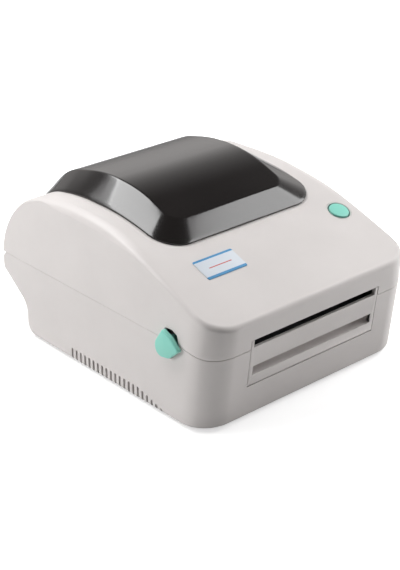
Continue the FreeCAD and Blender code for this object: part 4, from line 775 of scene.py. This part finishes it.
def lathe(name, profile, matrix, body, slot, replaced=(), sides=96):
    """Turns a (radius, height) profile round the local Z axis of a matrix; it runs from pole to pole or
    closes on itself."""
    profile = np.asarray(profile, float)
    angle = np.linspace(0, 2 * math.pi, sides, endpoint=False)
    rings = np.empty((len(profile), sides, 3))
    rings[..., 0] = profile[:, :1] * np.cos(angle)
    rings[..., 1] = profile[:, :1] * np.sin(angle)
    rings[..., 2] = profile[:, 1:2]
    vertices, faces = shell_mesh(rings)
    if profile[0, 0] == 0 and profile[-1, 0] == 0:
        faces = faces[:-sides]
    return make_piece(name, (vertices, faces), body, slot, replaced, matrix=matrix)


def arc_profile(centre, radius, start, end, count=6):
    return [(centre[0] + radius * math.cos(math.radians(a)), centre[1] + radius * math.sin(math.radians(a)))
            for a in np.linspace(start, end, count)]


button_frame = on_top(BUTTON)
cap = [(0, -4.1), (1.5, -4.1), (1.5, -2), (6.75, -2)] + arc_profile((5.95, -0.1), 0.8, 0, 68)
cap += [(5.2, 0.72), (3.5, 0.82), (1.7, 0.88), (0, 0.9)]
lathe("button_cap", cap, button_frame, "button", "mint_plastic", ("feed_button",))
collar = [(7.7, -3.7), (9.0, -3.7), (9.0, -2.6), (8.45, -2.6)] + arc_profile((8.075, -0.25), 0.375, 0, 180, 9)
lathe("button_collar", collar, button_frame, "cover", "ring_plastic", ("button_ring",))
# The dark mint ring in the gap between the cap and the collar is painted shade: it stands in for the shadow
# down in that gap.
gap_shade_profile = [(6.95, -3.6), (7.68, -3.6)] + arc_profile((7.32, -0.3), 0.36, 0, 180, 9)
gap_shade_ring = lathe("button_seal", gap_shade_profile, button_frame, "cover", None)

PLATE_HALF = (15.7, 8.3)
PLATE_CENTRE = (-41.0, FRONT + 45, top_line(FRONT + 45))


def make_plate():
    line = rounded_box_outline((-PLATE_HALF[0], PLATE_HALF[0]), (-PLATE_HALF[1], PLATE_HALF[1]), 1.0)
    rings = []
    for inset, height in ((0, -0.05), (0, 0.3), (0.1, 0.42), (0.35, 0.48)):
        scale = 1 - inset / np.array(PLATE_HALF)
        rings.append(np.column_stack((line * scale, np.full(len(line), height))))
    make_piece("name_plate_face", shell_mesh(np.array(rings), True), "cover", "label_film",
               ("name_plate",), 40, on_top(PLATE_CENTRE))


make_plate()

# ------------------------------------------------------------------ materials

class Nodes:
    """A node tree, built one node at a time."""

    def __init__(self, tree):
        self.tree = tree

    def set(self, node, key, value):
        socket = node.inputs[key]
        if isinstance(value, bpy.types.NodeSocket):
            self.tree.links.new(value, socket)
        else:
            socket.default_value = value

    def node(self, kind, values=None, **settings):
        node = self.tree.nodes.new(kind)
        for key, value in settings.items():
            setattr(node, key, value)
        for key, value in (values or {}).items():
            self.set(node, key, value)
        return node

    def between(self, factor, low, high, start=0.0, end=1.0):
        """Maps start to end onto low to high."""
        values = {"Value": factor, "From Min": start, "From Max": end, "To Min": low, "To Max": high}
        return self.node("ShaderNodeMapRange", values).outputs["Result"]

    def math(self, operation, first, second=0.0):
        return self.node("ShaderNodeMath", {0: first, 1: second}, operation=operation).outputs[0]


class Recipe(Nodes):
    """A material's node tree."""

    def __init__(self, name):
        self.material = bpy.data.materials.new(name)
        self.material.use_nodes = True
        super().__init__(self.material.node_tree)
        self.shader = self.tree.nodes["Principled BSDF"]

    def shade(self, **values):
        for key, value in values.items():
            self.set(self.shader, key.replace("_", " "), value)

    def place(self):
        return self.node("ShaderNodeTexCoord").outputs["Object"]

    def noise(self, scale, detail=4.0, roughness=0.55, where=None):
        values = {"Vector": where or self.place(), "Scale": scale, "Detail": detail, "Roughness": roughness}
        return self.node("ShaderNodeTexNoise", values).outputs["Fac"]

    def cells(self, scale):
        return self.node("ShaderNodeTexVoronoi", {"Vector": self.place(), "Scale": scale}).outputs["Distance"]

    def mix(self, factor, first, second):
        # Of a mix node's inputs, 0 is the factor and 6 and 7 are the colours; output 2 is the colour.
        return self.node("ShaderNodeMix", {0: factor, 6: first, 7: second}, data_type="RGBA").outputs[2]

    def bump(self, height, strength, distance):
        values = {"Height": height, "Strength": strength, "Distance": distance}
        return self.node("ShaderNodeBump", values).outputs["Normal"]


def linear(red, green, blue):
    """Screen colour from 0 to 255 as linear RGBA."""
    result = []
    for value in (red, green, blue):
        share = value / 255
        result.append(share / 12.92 if share <= 0.04045 else ((share + 0.055) / 1.055) ** 2.4)
    return (*result, 1.0)


def toned(colour, factor, lift=0.0):
    return tuple(min(1.0, v * factor + lift) for v in colour[:3]) + (1.0,)


def plastic(name, colour, roughness, grain=2600.0, clouding=0.05, coat=0.0):
    """Moulded plastic: fine spark-eroded grain, slight clouding and uneven gloss."""
    r = Recipe(name)
    cloud = r.noise(26.0, 5.0)
    grit = r.noise(grain, 3.0, 0.6)
    pits = r.cells(grain * 0.45)
    relief = r.math("ADD", grit, r.math("MULTIPLY", pits, 0.6))
    r.shade(Base_Color=r.mix(r.between(cloud, 0, 1, 0.3, 0.7), toned(colour, 1 - clouding), colour),
            Roughness=r.math("ADD", r.between(cloud, -0.03, 0.03, 0.3, 0.7),
                             r.between(grit, roughness - 0.05, roughness + 0.05)),
            Normal=r.bump(relief, 0.5, 0.00003))
    if coat:
        r.shade(Coat_Weight=coat, Coat_Roughness=0.12)
    return r.material


def metal(name, colour, roughness, streak=(30.0, 900.0, 900.0)):
    """Worked metal with fine streaks along one way."""
    r = Recipe(name)
    mapping = r.node("ShaderNodeMapping", {"Vector": r.place(), "Scale": streak})
    lines = r.noise(1.0, 4.0, 0.6, mapping.outputs["Vector"])
    patch = r.noise(60.0, 4.0)
    r.shade(Base_Color=r.mix(r.between(patch, 0, 1, 0.3, 0.7), toned(colour, 0.8), colour),
            Roughness=r.math("ADD", r.between(lines, roughness - 0.08, roughness + 0.08),
                             r.between(patch, -0.04, 0.05, 0.3, 0.7)),
            Metallic=1.0, Normal=r.bump(lines, 0.4, 0.00002))
    return r.material


def smoked(name):
    """Smoked plastic: nearly black, polished, a faint swirl in the gloss."""
    r = Recipe(name)
    swirl = r.noise(14.0, 3.0)
    haze = r.noise(420.0, 3.0)
    r.shade(Base_Color=r.mix(swirl, linear(22, 20, 20), linear(34, 31, 30)),
            Roughness=r.math("ADD", r.between(swirl, 0.13, 0.18), r.between(haze, 0.0, 0.03)),
            Normal=r.bump(swirl, 0.05, 0.0004), IOR=1.52, Coat_Weight=0.35, Coat_Roughness=0.06)
    return r.material


def rubber(name, colour):
    """Dull rubber with a little pale dust."""
    r = Recipe(name)
    grain = r.noise(1800.0, 4.0)
    dust = r.noise(90.0, 5.0)
    r.shade(Base_Color=r.mix(r.between(dust, 0, 0.6, 0.4, 0.8), colour, toned(colour, 1.7, 0.01)),
            Roughness=r.between(grain, 0.7, 0.9), Normal=r.bump(grain, 0.6, 0.00006))
    return r.material


def printed_film(name):
    """Printed film: blue bands top and bottom, a pale field and one thin red line."""
    r = Recipe(name)
    mapping = r.node("ShaderNodeMapping", {"Vector": r.place(),
                                           "Location": (-PLATE_CENTRE[0] * MM, -PLATE_CENTRE[1] * MM, 0)})
    parts = r.node("ShaderNodeSeparateXYZ", {"Vector": mapping.outputs["Vector"]})
    across, upwards = parts.outputs["X"], parts.outputs["Y"]
    depth = PLATE_HALF[1] * math.cos(SLOPE) * MM
    paper = r.noise(700.0, 4.0)
    tint = r.noise(60.0, 4.0)
    blue = r.mix(tint, linear(66, 134, 182), linear(84, 152, 198))
    field = r.mix(tint, linear(200, 208, 218), linear(222, 226, 231))
    in_upper = r.math("GREATER_THAN", upwards, depth * 0.77)
    in_lower = r.math("LESS_THAN", upwards, depth * -0.79)
    on_line = r.math("LESS_THAN", r.math("ABSOLUTE", r.math("ADD", upwards, depth * 0.06)), depth * 0.045)
    in_length = r.math("LESS_THAN", r.math("ABSOLUTE", across), 9 * MM)
    colour = r.mix(r.math("MULTIPLY", on_line, in_length), field, linear(196, 96, 92))
    colour = r.mix(in_lower, r.mix(in_upper, colour, blue), blue)
    r.shade(Base_Color=colour, Roughness=r.between(paper, 0.32, 0.46), Normal=r.bump(paper, 0.25, 0.00002))
    return r.material


MATERIALS = {
    "case_plastic": plastic("warm_white_case", linear(216, 211, 209), 0.42),
    "smoked_plastic": smoked("smoked_polished"),
    "mint_plastic": plastic("mint", linear(138, 214, 198), 0.34, clouding=0.03, coat=0.15),
    "ring_plastic": plastic("collar_white", linear(222, 220, 216), 0.3, clouding=0.03),
    "base_plastic": plastic("base_grey", linear(176, 172, 167), 0.5),
    "tray_plastic": plastic("tray_grey", linear(120, 118, 116), 0.5),
    "black_plastic": plastic("black_moulding", linear(30, 30, 31), 0.42, grain=1800.0),
    "gear_plastic": plastic("gear_white", linear(226, 222, 208), 0.36, clouding=0.06),
    "foot_rubber": rubber("dark_rubber", linear(34, 34, 35)),
    "roller_rubber": rubber("roller_grey", linear(62, 62, 64)),
    "board": plastic("green_board", linear(24, 92, 58), 0.36, grain=900.0, clouding=0.12),
    "bright_steel": metal("bright_steel", linear(205, 205, 203), 0.24),
    "sheet_steel": metal("zinc_sheet", linear(178, 180, 182), 0.36, (500.0, 40.0, 500.0)),
    "motor_steel": metal("motor_shell", linear(150, 151, 153), 0.34, (40.0, 600.0, 600.0)),
    "head_aluminium": metal("anodised", linear(190, 192, 194), 0.4, (30.0, 800.0, 800.0)),
    "head_ceramic": plastic("glazed_ceramic", linear(214, 210, 200), 0.2, grain=1500.0, coat=0.5),
    "pinion_brass": metal("brass", linear(196, 160, 92), 0.3),
    "label_film": printed_film("printed_film"),
}

SLOT_OF_NODE = {row["node"]: row["material_slot"] for row in frame["record"]["subparts"]}


def dress(obj, material):
    """Gives a piece one material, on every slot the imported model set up."""
    if not obj.material_slots:
        obj.data.materials.append(material)
    for holder in obj.material_slots:
        holder.material = material


for obj in list(bpy.data.objects):
    slot = obj.get("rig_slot") or SLOT_OF_NODE.get(obj.get("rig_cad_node"))
    if obj.type == "MESH" and slot:
        dress(obj, MATERIALS[slot])
# Painted shade: the ring in the button's gap gets a dark mint that stands in for the gap's shadow.
dress(gap_shade_ring, plastic("painted_gap_shade", linear(70, 112, 104), 0.5, clouding=0.03))

# ------------------------------------------------------------------ studio

FLOOR_REACH = 3.0
FILL = 0.03
ROOM = ((0.0, 0.45), (0.12, 0.6), (0.36, 1.0), (0.55, 0.4), (0.72, 0.05))
STUDIO_CENTRE = Vector((0, 0, 0.06))
CAMERA_PLACE = Vector((-555.5, -623.45, 444.8)) * MM
CAMERA_BACK = Vector((-0.59627, -0.67253, 0.43837))
CAMERA_LENS = 88.42
CAMERA_SENSOR = 36.0

# Name, direction from the centre, distance, size, power, and whether it shows in reflections.
SOFTBOXES = [("overhead", (-0.2, 0.43, 0.875), 1.2, (0.8, 0.74), 13.2, True)]
for strip, (lean, power) in enumerate(((45, 0.5), (47.5, 0.28), (50, 0.12))):
    direction = (-0.12, math.sin(math.radians(lean)), math.cos(math.radians(lean)))
    SOFTBOXES.append((f"overhead_edge_{strip}", direction, 1.2, (0.8, 0.052), power, True))
SOFTBOXES += [("right_box", (0.72, -0.25, 0.66), 1.4, (0.6, 0.62), 5.6, True),
              ("right_fill", (0.75, -0.2, 0.65), 1.4, (0.6, 0.62), 5.4, False),
              ("front_fill", (1.0, -0.4, 0.1), 0.9, (0.6, 0.18), 4.4, False),
              ("left_box", (-1.0, 0.62, 0.2), 1.4, (0.6, 0.8), 11.0, False)]


def studio_floor():
    """A pale floor that the camera sees as white away from the shadow."""
    reach = FLOOR_REACH / MM
    floor = loose("studio_floor", [(-reach, -reach, 0), (reach, -reach, 0), (reach, reach, 0),
                                   (-reach, reach, 0)], [(0, 1, 2, 3)])
    r = Recipe("paper_sweep")
    fibre = r.noise(300.0, 4.0)
    away = r.node("ShaderNodeVectorMath", {0: r.place()}, operation="LENGTH").outputs["Value"]
    seen = r.node("ShaderNodeLightPath").outputs["Is Camera Ray"]
    r.shade(Base_Color=r.mix(fibre, (0.74, 0.74, 0.74, 1), (0.78, 0.78, 0.78, 1)), Roughness=0.9,
            Normal=r.bump(fibre, 0.1, 0.00002), Emission_Color=(1, 1, 1, 1),
            Emission_Strength=r.math("MULTIPLY", seen, r.between(away, 0.55, 1.0, 0.125, 0.24)))
    floor.data.materials.append(r.material)


def softbox(name, direction, distance, size, power, glossy):
    data = bpy.data.lights.new(name, "AREA")
    data.shape = "RECTANGLE"
    data.size, data.size_y = size
    data.energy = power
    lamp = bpy.data.objects.new(name, data)
    aim = Vector(direction).normalized()
    lamp.location = STUDIO_CENTRE + aim * distance
    lamp.rotation_euler = aim.to_track_quat("Z", "Y").to_euler()
    lamp.visible_glossy = glossy
    bpy.context.scene.collection.objects.link(lamp)


def studio_world():
    """White behind the object, a banded room in its reflections and a faint fill for the rest."""
    world = bpy.data.worlds.new("studio_world")
    bpy.context.scene.world = world
    world.use_nodes = True
    n = Nodes(world.node_tree)
    n.tree.nodes.clear()
    generated = n.node("ShaderNodeTexCoord").outputs["Generated"]
    parts = n.node("ShaderNodeSeparateXYZ", {"Vector": generated})
    height = n.node("ShaderNodeValToRGB", {"Fac": parts.outputs["Z"]})
    stops = height.color_ramp.elements
    stops[0].position = ROOM[0][0]
    stops[1].position = ROOM[-1][0]
    for place, _ in ROOM[1:-1]:
        stops.new(place)
    for stop, (_, level) in zip(stops, ROOM):
        stop.color = (level, level, level, 1)
    tilt = n.between(parts.outputs["X"], 0.4, 1.2, -0.1, 0.55)
    glow = n.math("MULTIPLY", height.outputs["Color"], tilt)
    mirrored = n.node("ShaderNodeBackground", {"Color": (1, 0.97, 0.955, 1), "Strength": glow})
    fill = n.node("ShaderNodeBackground", {"Color": (1, 0.99, 0.985, 1), "Strength": FILL})
    seen = n.node("ShaderNodeBackground", {"Color": (1, 1, 1, 1), "Strength": 1.0})
    path = n.node("ShaderNodeLightPath")

    def blend(switch, off, on):
        return n.node("ShaderNodeMixShader", {0: path.outputs[switch], 1: off, 2: on}).outputs[0]

    around = blend("Is Glossy Ray", fill.outputs[0], mirrored.outputs[0])
    n.node("ShaderNodeOutputWorld", {0: blend("Is Camera Ray", around, seen.outputs[0])})


def studio_camera():
    data = bpy.data.cameras.new("studio_camera")
    data.lens = CAMERA_LENS
    data.sensor_width = CAMERA_SENSOR
    camera = bpy.data.objects.new("studio_camera", data)
    camera.location = CAMERA_PLACE
    camera.rotation_euler = CAMERA_BACK.normalized().to_track_quat("Z", "Y").to_euler()
    bpy.context.scene.collection.objects.link(camera)
    bpy.context.scene.camera = camera


studio_floor()
for row in SOFTBOXES:
    softbox(*row)
studio_world()
studio_camera()
bpy.context.scene.view_settings.view_transform = "Standard"
